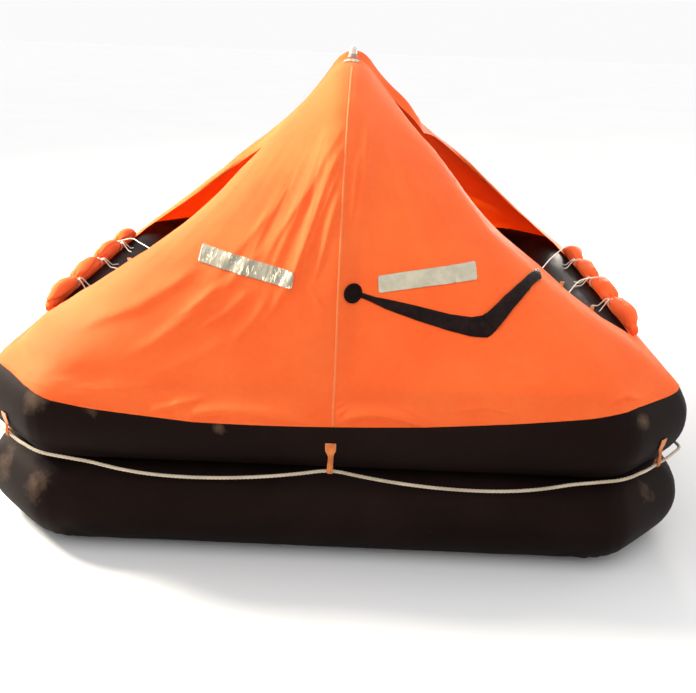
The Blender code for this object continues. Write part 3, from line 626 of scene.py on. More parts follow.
# %% How far the cloth hangs or stands up
SILL_TOP_Z = 0.557
DOOR_LEVELS = (0.56, 0.66, 0.74, 0.83, 0.91, 0.97, 1.03, 1.10)
# How far the cloth hangs at each level of the left (-1) and right (1) near edge: a hollow beside
# the edge, and the edge itself
HOLLOW = {
    -1: (0.0, 0.006, 0.016, 0.042, 0.055, 0.046, 0.020, 0.0),
    1: (0.0, 0.012, 0.024, 0.044, 0.052, 0.036, 0.004, 0.0),
}
DROP = {
    -1: (0.0, -0.008, 0.002, 0.012, 0.012, 0.006, 0.0, 0.0),
    1: (0.0, 0.016, 0.013, 0.009, 0.015, 0.012, 0.0, 0.0),
}
HOLLOW_REACH = 0.11
DROP_REACH = 0.12
# How far the left and right far edges stand up, by their distance from the raft's middle
RAISED_X = (0.165, 0.20, 0.24, 0.29, 0.36, 0.50, 0.64, 0.80, 1.00)
RAISED = {
    -1: (0.0, 0.0, 0.004, 0.012, 0.014, 0.006, 0.0, 0.0, 0.0),
    1: (0.0, 0.012, 0.032, 0.052, 0.064, 0.048, 0.022, 0.012, 0.0),
}
RAISED_REACH = 0.07
SLIT_X = (0.165, 0.295)
ON_MIDDLE = 0.0006
# Where the cloth behind the crest stands up: x, y, height, reach across, reach backwards
BEHIND = ((0.015, 0.085, 0.040, 0.13, 0.19), (0.228, 0.070, 0.048, 0.085, 0.15))
LAMP_LIFT = 0.0105
LAMP_LIFT_REACH = 0.065


# %% Find the open edges, and open the slit over the right door
def edge_finder(spots):
    tree = KDTree(len(spots))
    for index, spot in enumerate(spots):
        tree.insert(spot, index)
    tree.balance()
    return tree


edit(canopy, "EDGE")
slit = pick(canopy, "EDGE", lambda e: all(abs(v.co.y) < ON_MIDDLE and SLIT_X[0] < v.co.x < SLIT_X[1]
                                         for v in e.verts))
bpy.ops.mesh.edge_split(type="EDGE")
shape = bmesh.from_edit_mesh(canopy.data)
open_edge = [v.co.copy() for v in shape.verts if v.is_boundary and v.co.z > SILL_TOP_Z]
far_lip = {v.index for v in shape.verts if v.is_boundary and abs(v.co.y) < ON_MIDDLE and v.link_faces
           and v.link_faces[0].calc_center_median().y > 0}
leave_edit()
print("door slit edges:", slit, "open edge points:", len(open_edge))

# %% Move the cloth
points = places(canopy)
for side in (-1, 1):
    finder = edge_finder([spot for spot in open_edge if spot.x * side > 0 and spot.y < -0.001])
    for index, point in enumerate(points):
        if point[0] * side < 0.02 or point[1] > -0.001:
            continue
        spot, _, gap = finder.find(point)
        hollow = np.interp(spot.z, DOOR_LEVELS, HOLLOW[side]) * gap / HOLLOW_REACH
        hollow *= math.exp(1 - gap / HOLLOW_REACH)
        drop = np.interp(spot.z, DOOR_LEVELS, DROP[side]) * math.exp(-(gap / DROP_REACH) ** 2)
        fade = float(smoothstep(-point[1], 0.0, 0.15) * smoothstep(point[0] * side, 0.02, 0.20))
        points[index, 2] -= (hollow + drop) * fade
edge_gap = np.full(len(points), 1.0)
for side in (-1, 1):
    finder = edge_finder([spot for spot in open_edge if spot.x * side > SLIT_X[0] and spot.y > -0.001])
    for index, point in enumerate(points):
        on_slit = abs(point[1]) < ON_MIDDLE
        if point[0] * side < 0.10 or point[1] < -ON_MIDDLE or (on_slit and index not in far_lip):
            continue
        spot, _, gap = finder.find(point)
        edge_gap[index] = gap
        rise = np.interp(spot.x * side, RAISED_X, RAISED[side])
        points[index, 2] += rise * math.exp(-(gap / RAISED_REACH) ** 2)
for x, y, rise, reach_x, reach_y in BEHIND:
    across = np.exp(-((points[:, 0] - x) / reach_x) ** 2)
    back = np.exp(-(np.maximum(points[:, 1] - y, 0.0) / reach_y) ** 2)
    back *= smoothstep(np.minimum(points[:, 1], edge_gap), 0.012, y)
    points[:, 2] += rise * across * back
points[:, 2] += LAMP_LIFT * np.exp(-(np.linalg.norm(points[:, :2], axis=1) / LAMP_LIFT_REACH) ** 2)
put_places(canopy, points)
print("canopy settled, its top at z", round(float(points[:, 2].max()), 4))

# %% [markdown]
# The sheet must lie on what is under it. For each vertex the nearest place on the tube and the
# arch is looked up: the skirt is drawn down onto the tube it is glued to, and nothing is allowed
# nearer than the clearance. At the near corners the hem is glued higher up the tube, so the lower
# band of the sheet slides up along the skin there. Solidify then gives the cloth its second side.

# %% Lay the canopy on the tube and the arch
CLOTH_THICK = 0.0012
LEAST_CLEAR = 0.0024
GLUE_NEAR = 0.010
GLUE_REACH = 0.030
GLUE_DRAW = 0.0045
# How far the near hem rises at each X, and the band of the sheet that takes it up
HEM_UP_X = (-1.12, -1.00, -0.95, -0.90, -0.85, -0.815, -0.755, -0.69, -0.53, -0.40,
            0.75, 0.83, 0.88, 0.90, 0.94, 1.02)
HEM_UP = (0.072, 0.068, 0.060, 0.052, 0.036, 0.029, 0.021, 0.015, 0.008, 0.0,
          0.0, 0.009, 0.018, 0.021, 0.018, 0.012)
HEM_BAND = (0.46, 0.66)
HEM_LOOSE = 0.05
HEM_BEFORE_Y = (0.60, 1.00)
LEAST_MOVE = 0.0002


def skin_tree(piece):
    shape = bmesh.new()
    shape.from_mesh(piece.data)
    tree = BVHTree.FromBMesh(shape)
    shape.free()
    return tree


def draw_up(points, tree):
    """Slides the near hem up along the tube's skin, each place keeping its distance from it."""
    rise = np.interp(points[:, 0], HEM_UP_X, HEM_UP) * (1 - smoothstep(points[:, 2], *HEM_BAND))
    rise *= smoothstep(-points[:, 1], *HEM_BEFORE_Y)
    for index in np.nonzero(rise > LEAST_MOVE)[0]:
        start = Vector(points[index])
        away = (start - tree.find_nearest(start)[0]).length
        end = start + Vector((0, 0, rise[index]))
        hit = tree.find_nearest(end)[0]
        held = hit + (end - hit).normalized() * away
        points[index] = end.lerp(held, 1.0 - float(smoothstep(away, GLUE_NEAR, HEM_LOOSE)))
    return float(rise.max())


def lay_on(points, tree, draw, reach):
    """Draws places that are within reach of a skin towards it, and keeps all of them clear of it."""
    moved = 0
    for index, point in enumerate(points):
        hit, normal, _, _ = tree.find_nearest(Vector(point), reach + 0.02)
        if hit is None:
            continue
        offset = Vector(point) - hit
        if offset.dot(normal) > 0:
            normal = offset.normalized()
        away = offset.dot(normal)
        fade = 1.0 - float(smoothstep(away, GLUE_NEAR, GLUE_REACH))
        wanted = max(LEAST_CLEAR, away - draw * fade)
        if abs(wanted - away) > 1e-6 and away < reach:
            points[index] = hit + normal * wanted
            moved += 1
    return moved


points = places(canopy)
skin = skin_tree(upper_skin)
print("hem drawn up by up to", round(draw_up(points, skin), 3), "m")
print("glued down:", lay_on(points, skin, GLUE_DRAW, GLUE_REACH))
print("kept off the arch:", lay_on(points, skin_tree(arch_skin), 0.0, 0.010))
put_places(canopy, points)
edit(canopy, "VERT")
shape = bmesh.from_edit_mesh(canopy.data)
lip_spots = [v.co.copy() for v in shape.verts if v.is_boundary and v.co.z > SILL_TOP_Z]
leave_edit()
lip = edge_finder(lip_spots)
modify(canopy, "SOLIDIFY", thickness=CLOTH_THICK, offset=-1.0)
seat(canopy, "canopy_skin", "orange_cloth", cloth, "canopy")

# %% [markdown]
# The floor mattress is an inflated quilt. Its solid gives the outline. It is sliced both ways, so
# that there are vertices to move, and long channels are pressed into it along rows of seams.

# %% Floor cloth and the floor
def grey_cloth():
    finish, tree, shader, where = new_finish("floor_cloth", Roughness=0.6, Specular_IOR_Level=0.3)
    patchy = grain(tree, where, 5.0, detail=6.0)
    tree.links.new(ramp(tree, patchy, (0.35, (0.035, 0.033, 0.034)), (0.68, (0.085, 0.080, 0.078))),
                   shader.inputs["Base Color"])
    bumps(tree, shader, (weave(tree, where, 0.0009), 0.12, 0.0004),
          (grain(tree, where, 22.0, detail=5.0), 0.25, 0.002))
    return finish


def slice_across(axis, low, high, count):
    """Cuts the open piece into this many equal slices along X (axis 0) or Y (axis 1)."""
    for k in range(1, count):
        plane, normal = [0.0] * 3, [0.0] * 3
        plane[axis] = low + (high - low) * k / count
        normal[axis] = 1.0
        bpy.ops.mesh.select_all(action="SELECT")
        bpy.ops.mesh.bisect(plane_co=plane, plane_no=normal)


floor_finish = grey_cloth()
CHANNEL = 0.16
CHANNEL_DEPTH = 0.016
CUT_EVERY = (0.02, 0.05)
EDGE_ROOM = (0.02, 0.10)
floor = copy_of("floor_mattress", "floor_quilt")
edit(floor)
pick(floor, "FACE", lambda f: abs(f.normal.z) > 0.9)
bpy.ops.mesh.delete(type="FACE")
bpy.ops.mesh.select_mode(type="EDGE")
floor_low, floor_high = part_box("floor_mattress")
low_z, high_z = floor_low.z, floor_high.z
for level in (low_z, high_z):
    bpy.ops.mesh.select_all(action="DESELECT")
    pick(floor, "EDGE", lambda e: all(abs(v.co.z - level) < 0.001 for v in e.verts))
    bpy.ops.mesh.edge_face_add()
bpy.ops.mesh.select_all(action="SELECT")
bpy.ops.mesh.normals_make_consistent(inside=False)
for axis, step in enumerate(CUT_EVERY):
    low, high = floor_low[axis], floor_high[axis]
    slice_across(axis, low, high, int((high - low) / step))
leave_edit()
points = places(floor)
from_edge = np.minimum(floor_high.x - np.abs(points[:, 0]), floor_high.y - np.abs(points[:, 1]))
edge_room = smoothstep(from_edge, *EDGE_ROOM)
wave = np.abs(np.sin(math.pi * points[:, 0] / CHANNEL)) ** 0.6
side = np.where(points[:, 2] > (low_z + high_z) / 2, -1.0, 1.0)
flat = (np.abs(points[:, 2] - low_z) < 0.002) | (np.abs(points[:, 2] - high_z) < 0.002)
points[:, 2] += np.where(flat, side * CHANNEL_DEPTH * (1 - wave) * edge_room, 0.0)
put_places(floor, points)
seat(floor, "floor_quilt", "grey_floor_cloth", floor_finish, "floor_mattress", angle=50)

# %% [markdown]
# The stage: a pale floor that runs out of sight, and a sky that is brightest just above the
# horizon, like a white studio. A warm light on the left gives the cloth its glow, and a small one
# low behind the raft lights the far cloth that shows through the right door.

# %% Stage and light
GROUND_SIZE = 120
GROUND_Z = -0.0005
bpy.ops.object.select_all(action="DESELECT")
bpy.ops.mesh.primitive_plane_add(size=GROUND_SIZE, location=(0, 0, GROUND_Z))
ground = bpy.context.object
ground.name = "studio_floor"
pale, pale_tree, pale_shader, pale_where = new_finish("studio_floor", Roughness=0.9, Specular_IOR_Level=0.1)
pale_tree.links.new(ramp(pale_tree, grain(pale_tree, pale_where, 0.6), (0.3, 0.66), (0.7, 0.68)),
                    pale_shader.inputs["Base Color"])
ground.data.materials.append(pale)

world = bpy.data.worlds.new("studio")
bpy.context.scene.world = world
world.use_nodes = True
sky = world.node_tree
direction = add(sky, "ShaderNodeTexCoord", {}).outputs["Generated"]
height = add(sky, "ShaderNodeSeparateXYZ", {"Vector": direction}).outputs["Z"]
glow = ramp(sky, height, (0.03, 0.60), (0.10, 1.0), (0.50, 0.88))
sky.links.new(glow, sky.nodes["Background"].inputs["Color"])
sky.nodes["Background"].inputs["Strength"].default_value = 1.60


def area_light(name, place, target, size, watts, colour):
    data = bpy.data.lights.new(name, "AREA")
    data.shape = "DISK"
    data.size = size
    data.energy = watts
    data.color = colour
    lamp = bpy.data.objects.new(name, data)
    bpy.context.scene.collection.objects.link(lamp)
    lamp.location = place
    lamp.rotation_euler = (Vector(target) - Vector(place)).to_track_quat("-Z", "Y").to_euler()
    lamp.visible_camera = False


area_light("key", (-4.71, 0.75, 3.2), (0, -0.6, 0.7), 1.5, 860, (1.0, 0.93, 0.78))
area_light("back", (1.7, 3.3, 1.0), (0.55, 0.55, 0.85), 0.6, 90, (1.0, 0.90, 0.80))

# %% [markdown]
# The rolled door flaps: cloth bundled along each sill and tied at three places, so that it puffs
# out between the ties. This is a job for the cloth solver: the pinched rings are held, air
# pressure fills the rest, and a little extra cloth wrinkles at the ties. Pleats, dents and the
# roll's loose edge are then added by code.

# %% Rolled door flaps
TIE_Y = (-0.3375, 0.0, 0.3375)
ROLL_VOXEL = 0.006
ROLL_CAP = 0.008
ROLL_FRAMES = 20
ROLL_IN_DEG = 4.0
TIE_HELD = 0.010
ROLL_END_Y = 0.650
PLEAT = 0.0022
PLEAT_REACH = 0.055
DENT = 0.0055
LOOSE_EDGE = 0.0042
LOOSE_FROM_TIE = 0.012


def roll_wrinkles(piece, node):
    """Pleats that run into each tie, the roll's loose outer edge, and soft dents between the ties."""
    low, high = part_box(node)
    middle_x, middle_z = (low.x + high.x) / 2, (low.z + high.z) / 2
    points = places(piece)
    outward = outwards(piece)
    angle = np.arctan2(points[:, 2] - middle_z, points[:, 0] - middle_x)
    near_tie = np.min([np.abs(points[:, 1] - y) for y in TIE_Y], axis=0)
    wander = cloth_noise(points, 6.0, 21)
    pleats = PLEAT * np.sin(7 * angle + 5 * wander) * np.exp(-(near_tie / PLEAT_REACH) ** 2)
    dents = DENT * cloth_noise(points * np.array([1.0, 0.45, 1.0]), 24.0, 22)
    edge_at = 0.6 + 0.5 * np.sin(points[:, 1] * 5.0 + 1.0)
    past = np.mod(angle - edge_at, 2 * math.pi)
    flap = LOOSE_EDGE * smoothstep(past, 0.0, 0.10) * smoothstep(past, 2.6, 0.4)
    put_places(piece, points + outward * (pleats + dents + flap * (near_tie > LOOSE_FROM_TIE))[:, None])


# %% Roll each flap
def rolled_flap(word):
    node = "door_roll_" + word
    piece = copy_of(node, node + "_cloth")
    only(piece)
    piece.data.remesh_voxel_size = ROLL_VOXEL
    bpy.ops.object.voxel_remesh()
    start = places(piece)
    held = piece.vertex_groups.new(name="ties")
    tied = [index for index, point in enumerate(start)
            if min(abs(point[1] - y) for y in TIE_Y) < TIE_HELD or abs(point[1]) > ROLL_END_Y]
    held.add(tied, 1.0, "REPLACE")
    sim = piece.modifiers.new("air", "CLOTH")
    sim.settings.quality = 4
    sim.settings.use_pressure = True
    sim.settings.uniform_pressure_force = 4.0
    sim.settings.shrink_min = -0.10
    sim.settings.bending_stiffness = 0.3
    sim.settings.vertex_group_mass = "ties"
    sim.settings.effector_weights.gravity = 0.0
    sim.collision_settings.use_collision = False
    for step in range(1, ROLL_FRAMES + 1):
        bpy.context.scene.frame_set(step)
    only(piece)
    bpy.ops.object.modifier_apply(modifier="air")
    bpy.context.scene.frame_set(1)
    moved = places(piece) - start
    length = np.linalg.norm(moved, axis=1, keepdims=True)
    put_places(piece, start + moved * np.minimum(1.0, ROLL_CAP / np.maximum(length, 1e-9)))
    print(node, "cloth moved up to", round(float(length.max()) * 1000, 1), "mm")
    modify(piece, "SUBSURF", levels=1, render_levels=1)
    piece.vertex_groups.clear()
    roll_wrinkles(piece, node)
    side = -1 if word == "left" else 1
    hinge = Vector((side * HALF_WIDTH, 0, UPPER_Z))
    lean = Matrix.Rotation(math.radians(-side * ROLL_IN_DEG), 4, "Y")
    piece.data.transform(Matrix.Translation(hinge) @ lean @ Matrix.Translation(-hinge))
    seat(piece, node + "_cloth", "orange_cloth", cloth, node)


for word in ("left", "right"):
    rolled_flap(word)

# %% [markdown]
# Small things that lie on the canopy, such as tapes, the rain catcher's disc and its sleeve, are
# modelled flat, as on a bench: X and Z are their place, and Y is their height above the cloth.
# Then each vertex is thrown along Y onto the canopy, so the piece takes every fold under it.

# %% Helpers for pieces that lie on the canopy
canopy_tree = skin_tree(canopy)


def lay_on_canopy(piece, lift, side=-1):
    """Throws a flat piece onto the near (-1) or far (1) face, its own Y becoming height above it."""
    for vertex in piece.data.vertices:
        x, y, z = vertex.co
        hit, normal, _, _ = canopy_tree.ray_cast(Vector((x, side * 3.0, z)), Vector((0, -side, 0)))
        if hit is None or hit.y * side < 0:
            raise ValueError(f"{piece.name} reaches past the cloth at x {x:.3f} z {z:.3f}")
        vertex.co = hit + normal * (lift + y)
    piece.data.update()


def new_grid(steps_x, steps_y):
    """A flat grid one metre square, alone selected."""
    bpy.ops.object.select_all(action="DESELECT")
    bpy.ops.mesh.primitive_grid_add(x_subdivisions=steps_x, y_subdivisions=steps_y, size=1.0)
    return bpy.context.object


def flat_grid(name, length, width, steps_along, steps_across, middle, turn_deg):
    """A grid in the plane of X and Z, turned and placed, for a seam or a tape."""
    piece = new_grid(steps_along, steps_across)
    piece.name = name
    edit(piece)
    bpy.ops.mesh.select_all(action="SELECT")
    bpy.ops.transform.resize(value=(length, width, 1.0))
    leave_edit()
    piece.data.transform(Matrix.Rotation(math.radians(90), 4, "X"))
    piece.data.transform(Matrix.Rotation(math.radians(-turn_deg), 4, "Y"))
    piece.data.transform(Matrix.Translation((middle[0], 0, middle[1])))
    return piece


# %% [markdown]
# A flat seam joins the two panels of each long face. It is a narrow tape of the same cloth from
# under the lamp to the hem, coloured a little paler than the cloth beside it as a painted highlight.

# %% Seam tapes
SEAM_WIDTH = 0.0075
SEAM_LOW_Z = 0.446
SEAM_HIGH_Z = 1.404
SEAM_X = 0.004
SEAM_STEPS = 190
SEAM_LIFT = 0.0004
SEAM_THICK = 0.0007
# The paler colours of the seam tape are a painted highlight along it.
seam_painted_highlight = orange_cloth("seam_cloth_painted_highlight", deep=(0.90, 0.150, 0.050, 1), pale=(0.96, 0.200, 0.075, 1))
for word, side in (("near", -1), ("far", 1)):
    seam = flat_grid("seam_" + word, SEAM_HIGH_Z - SEAM_LOW_Z, SEAM_WIDTH, SEAM_STEPS, 2,
                     (SEAM_X, (SEAM_HIGH_Z + SEAM_LOW_Z) / 2), 90)
    lay_on_canopy(seam, SEAM_LIFT, side)
    modify(seam, "SOLIDIFY", thickness=SEAM_THICK, offset=0.0)
    seat(seam, "seam_" + word, "orange_cloth", seam_painted_highlight)

# %% [markdown]
# Retroreflective tape is thin, stiff film. On a raft that has been packed it is crinkled: sharp
# little ridges across it, and thin lines where the film throws light back. The left one has many,
# the right one only a single crease. The ridges are real geometry; the bright lines are painted
# highlights in the film's colour.

# %% Reflective tapes
TAPE_LENGTH = 0.300
TAPE_WIDTH = 0.045
# The two above are as seen square on from the near side, this is along the sloping cloth
# Name, middle as X and Z, turn in degrees, and how crinkled the film is
TAPES = (("left", -0.281, 0.843, -8.9, 1.0), ("right", 0.269, 0.834, 6.0, 0.0))
FILM_COLOURS = ((0.36, 0.32, 0.23), (0.47, 0.42, 0.31))
CRINKLE = 0.0018
CREASE_HEIGHT = 0.0060
CREASE_AT = 0.078
CREASE_HALF = 0.0024
CREASE_LEAN = 0.05
CORNER_OFF = (0.004, 0.0035)
FILM_LIFT = 0.0022
FILM_THICK = 0.0008


def tape_finish(name, crinkled, turn_deg, middle):
    finish, tree, shader, where = new_finish(name, Roughness=0.42, Specular_IOR_Level=0.5)
    flat = add(tree, "ShaderNodeMapping", {
        "Vector": where, "Location": (-middle[0], 0, -middle[1])}, vector_type="POINT").outputs["Vector"]
    turned = add(tree, "ShaderNodeMapping", {
        "Vector": flat, "Rotation": (0, math.radians(turn_deg), 0)}, vector_type="POINT").outputs["Vector"]
    squeezed = add(tree, "ShaderNodeMapping", {
        "Vector": turned, "Scale": (1.0, 0.3, 0.32)}).outputs["Vector"]
    lines = grain(tree, squeezed, 95.0, detail=3.0, rough=0.7, distortion=0.7)
    patches = grain(tree, turned, 26.0, detail=3.0)
    tone = 1.0 - 0.40 * crinkled
    deep, pale = ((*(part * tone for part in colour), 1) for colour in FILM_COLOURS)
    base = blend_colour(tree, ramp(tree, patches, (0.35, 0.0), (0.65, 1.0)), deep, pale)
    # The bright lines are painted highlights: glints put into the base colour, on crinkled film only.
    painted_glint = maths(tree, "MULTIPLY", ramp(tree, lines, (0.57, 0.0), (0.62, 1.0)), crinkled, clamp=True)
    base = blend_colour(tree, painted_glint, base, (1.0, 0.93, 0.62, 1))
    tree.links.new(base, shader.inputs["Base Color"])
    tree.links.new(ramp(tree, patches, (0.3, 0.30), (0.7, 0.50)), shader.inputs["Roughness"])
    bumps(tree, shader, (lines, 0.35 * crinkled + 0.05, 0.002),
          (grain(tree, where, 900.0, detail=1.0), 0.08, 0.0004))
    return finish


def at_corner(offset, along):
    """Whether a place, counted from the tape's middle, is at one of its corners, which are cut off."""
    return (abs(offset.dot(along)) > TAPE_LENGTH / 2 - CORNER_OFF[0]
            and abs(offset.cross(Vector(along)).y) > TAPE_WIDTH / 2 - CORNER_OFF[1])


for word, side in (("near", -1), ("far", 1)):
    for label, x, z, turn_deg, crinkled in TAPES:
        node = f"retro_tape_{word}_{label}"
        tape = flat_grid(node, TAPE_LENGTH, TAPE_WIDTH, 110, 14, (x, z), turn_deg)
        points = places(tape)
        along = np.array([math.cos(math.radians(turn_deg)), 0, math.sin(math.radians(turn_deg))])
        run = (points - np.array([x, 0, z])) @ along
        ripple = np.array([noise.noise(Vector((a * 85, 3.0 * side, b * 22)))
                           for a, b in zip(run, points[:, 2])])
        from_crease = run - CREASE_AT + CREASE_LEAN * (points[:, 2] - z)
        crease = CREASE_HEIGHT * np.exp(-(from_crease / CREASE_HALF) ** 2) * (crinkled < 0.5)
        points[:, 1] = CRINKLE * crinkled * np.abs(ripple) + crease
        put_places(tape, points)
        edit(tape)
        pick(tape, "FACE", lambda f: at_corner(f.calc_center_median() - Vector((x, 0, z)), along))
        bpy.ops.mesh.delete(type="FACE")
        leave_edit()
        lay_on_canopy(tape, FILM_LIFT, side)
        modify(tape, "SOLIDIFY", thickness=FILM_THICK, offset=0.0)
        film = tape_finish(node, crinkled, turn_deg, (x, z))
        seat(tape, node + "_film", "retroreflective_tape", film, node)

# %% [markdown]
# The rain catcher: a rubber port with a raised lip, and a black coated sleeve that leads the water
# in through the door. The port is a cylinder whose face is inset and raised in steps. The sleeve is
# a flat hose, narrow at the port, wider further on, and folded sharply where it turns up to the door.

# %% Sizes of the rain catcher, and two helpers for round pieces
DISC_AT = (0.046, 0.797)
DISC_R = 0.0265
DISC_SIDES = 40
DISC_TALL = 0.005
# The sleeve's middle line, as X, Z and the width there
SLEEVE_ROUTE = (
    (0.070, 0.792, 0.012), (0.110, 0.778, 0.016), (0.150, 0.766, 0.026), (0.240, 0.743, 0.036),
    (0.330, 0.722, 0.041), (0.400, 0.711, 0.048), (0.442, 0.712, 0.056), (0.462, 0.725, 0.050),
    (0.513, 0.768, 0.040), (0.555, 0.795, 0.032), (0.590, 0.812, 0.024), (0.614, 0.815, 0.018),
    (0.632, 0.812, 0.012),
)
SLEEVE_STEPS = 12
SLEEVE_PUFF = 0.0032
# Where along the route the sleeve turns over itself, how slanted that fold is across the sleeve, and
# how far the upper layer then stands up
FOLD_AT = (6.42, 6.50)
FOLD_SLANT = 0.35
FOLD_RISE = 0.0045
# The sleeve's direction is taken from the places this far ahead and behind, in parts of the route
LOOK = 0.35


def new_cylinder(sides, radius, depth, place, turn=(0, 0, 0)):
    """A closed cylinder, alone selected, with its place and turn in its mesh."""
    bpy.ops.object.select_all(action="DESELECT")
    bpy.ops.mesh.primitive_cylinder_add(vertices=sides, radius=radius, depth=depth, end_fill_type="NGON",
                                        location=place, rotation=turn)
    bpy.ops.object.transform_apply(location=True, rotation=True)
    return bpy.context.object


def terrace(direction, *steps):
    """Insets the chosen face by each width in turn, and moves it along a direction by each height."""
    for width, height in steps:
        bpy.ops.mesh.inset(thickness=width)
        if height:
            move = tuple(part * height for part in direction)
            bpy.ops.mesh.extrude_region_move(TRANSFORM_OT_translate={"value": move})


# %% Rain catcher's port
def black_cloth():
    finish, tree, shader, where = new_finish("coated_cloth", Roughness=0.6, Specular_IOR_Level=0.06)
    worn = grain(tree, where, 30.0, detail=6.0, rough=0.7)
    tree.links.new(ramp(tree, worn, (0.42, (0.0065, 0.0026, 0.0026)), (0.80, (0.020, 0.010, 0.0085))),
                   shader.inputs["Base Color"])
    tree.links.new(ramp(tree, worn, (0.3, 0.50), (0.7, 0.66)), shader.inputs["Roughness"])
    bumps(tree, shader, (weave(tree, where, 0.0008), 0.15, 0.0004),
          (grain(tree, where, 55.0, detail=5.0), 0.35, 0.002))
    return finish


sleeve_finish = black_cloth()
disc = new_cylinder(DISC_SIDES, DISC_R, DISC_TALL, (DISC_AT[0], DISC_TALL / 2, DISC_AT[1]),
                    (math.radians(90), 0, 0))
edit(disc)
pick(disc, "FACE", lambda f: len(f.verts) == DISC_SIDES and f.calc_center_median().y > DISC_TALL / 2)
terrace((0, 1, 0), (0.003, 0.0022), (0.0035, -0.0032), (0.006, 0), (0.0035, 0.0024))
leave_outwards()
lay_on_canopy(disc, 0.0012)
modify(disc, "BEVEL", width=0.0006, segments=2, limit_method="ANGLE")
seat(disc, "rain_disc", "black_coated_cloth", rubber, "rain_collector_disc", angle=35)

# %% Rain sleeve
sleeve = new_grid((len(SLEEVE_ROUTE) - 1) * SLEEVE_STEPS, 8)
route = np.array(SLEEVE_ROUTE)
stations = np.arange(len(route))
points = places(sleeve)
for index, (across, along, _) in enumerate(points[:, [1, 0, 2]]):
    t = (along + 0.5) * (len(route) - 1)
    x, z, wide = (np.interp(t, stations, route[:, k]) for k in range(3))
    ahead = [np.interp(min(t + LOOK, len(route) - 1), stations, route[:, k]) for k in range(2)]
    back = [np.interp(max(t - LOOK, 0), stations, route[:, k]) for k in range(2)]
    run = np.subtract(ahead, back)
    run /= np.linalg.norm(run)
    s = 2 * across
    crease = noise.noise(Vector((t * 2.2, s * 1.4, 4.0)))
    puff = SLEEVE_PUFF * (1 - s * s) * (0.55 + 0.9 * abs(crease))
    folded = FOLD_RISE * float(smoothstep(t + FOLD_SLANT * s, *FOLD_AT))
    points[index] = (x - run[1] * wide / 2 * s, max(0.0, puff + folded), z + run[0] * wide / 2 * s)
put_places(sleeve, points)
lay_on_canopy(sleeve, FILM_LIFT)
modify(sleeve, "SOLIDIFY", thickness=0.0016, offset=0.0)
seat(sleeve, "rain_sleeve_cloth", "black_coated_cloth", sleeve_finish, "rain_sleeve")

# %% [markdown]
# The lamp on the crest: a moulded base with a stepped flange, and a white dome. The base is a
# cylinder raised in steps, then bevelled, and the dome is half a sphere whose rim is drawn down in
# steps. A pale patch is stuck to the cloth in front of it.

# %% Lamp base
def plastic(name, colour, rough):
    finish, tree, shader, where = new_finish(name, Roughness=rough, Specular_IOR_Level=0.5, Coat_Weight=0.2)
    worn = grain(tree, where, 90.0, detail=4.0)
    darker = tuple(c * 0.82 for c in colour[:3]) + (1,)
    base = blend_colour(tree, ramp(tree, worn, (0.4, 0.0), (0.7, 1.0)), colour, darker)
    tree.links.new(base, shader.inputs["Base Color"])
    bumps(tree, shader, (grain(tree, where, 700.0, detail=2.0), 0.06, 0.0003))
    return finish


base_low, base_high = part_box("light_base")
dome_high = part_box("light_dome")[1]
# The lamp in the photograph is smaller than its solids, which have the usual size
BASE_SHARE = 0.56
DOME_SHARE = 0.60
BASE_R = base_high.x * BASE_SHARE
DOME_R = dome_high.x * DOME_SHARE
ROUND_SIDES = 48
FLANGE_TALL = 0.004
FLANGE_STEP = 0.0025
COLLAR_TALL = 0.0067
COLLAR_WALL = 0.0008
lamp_base = new_cylinder(ROUND_SIDES, BASE_R, FLANGE_TALL, (0, 0, base_low.z + FLANGE_TALL / 2 + LAMP_LIFT))
edit(lamp_base)
pick(lamp_base, "FACE", lambda f: len(f.verts) == ROUND_SIDES and f.normal.z > 0.5)
terrace((0, 0, 1), (FLANGE_STEP, FLANGE_STEP), (BASE_R - FLANGE_STEP - DOME_R - COLLAR_WALL, COLLAR_TALL),
        (0.002, 0))
leave_edit()
modify(lamp_base, "BEVEL", width=0.0007, segments=2, limit_method="ANGLE")
lamp_grey = plastic("lamp_base_grey", (0.26, 0.23, 0.21, 1), 0.5)
seat(lamp_base, "lamp_base", "lamp_white", lamp_grey, "light_base", angle=35)

# %% Lamp dome
# The rim's two steps, each how far down and how much wider, and the skirt that goes into the base
DOME_RIM = ((0.006, 1.04), (0.002, 0.96))
DOME_SKIRT = 0.011
waist_z = dome_high.z - DOME_R
bpy.ops.object.select_all(action="DESELECT")
bpy.ops.mesh.primitive_uv_sphere_add(segments=ROUND_SIDES, ring_count=24, radius=DOME_R,
                                     location=(0, 0, waist_z))
dome = bpy.context.object
bpy.ops.object.transform_apply(location=True)
edit(dome, "VERT")
pick(dome, "VERT", lambda v: v.co.z < waist_z - 0.0005)
bpy.ops.mesh.delete(type="VERT")
bpy.ops.mesh.select_mode(type="EDGE")
pick(dome, "EDGE", lambda e: e.is_boundary)
for down, wider in DOME_RIM:
    bpy.ops.mesh.extrude_region_move(TRANSFORM_OT_translate={"value": (0, 0, -down)})
    bpy.ops.transform.resize(value=(wider, wider, 1.0), center_override=(0, 0, waist_z))
bpy.ops.mesh.extrude_region_move(TRANSFORM_OT_translate={"value": (0, 0, -DOME_SKIRT)})
bpy.ops.mesh.edge_face_add()
leave_outwards()
dome_white = plastic("lamp_dome_white", (0.62, 0.58, 0.53, 1), 0.22)
seat(dome, "lamp_dome", "lamp_white", dome_white, "light_dome", angle=40)

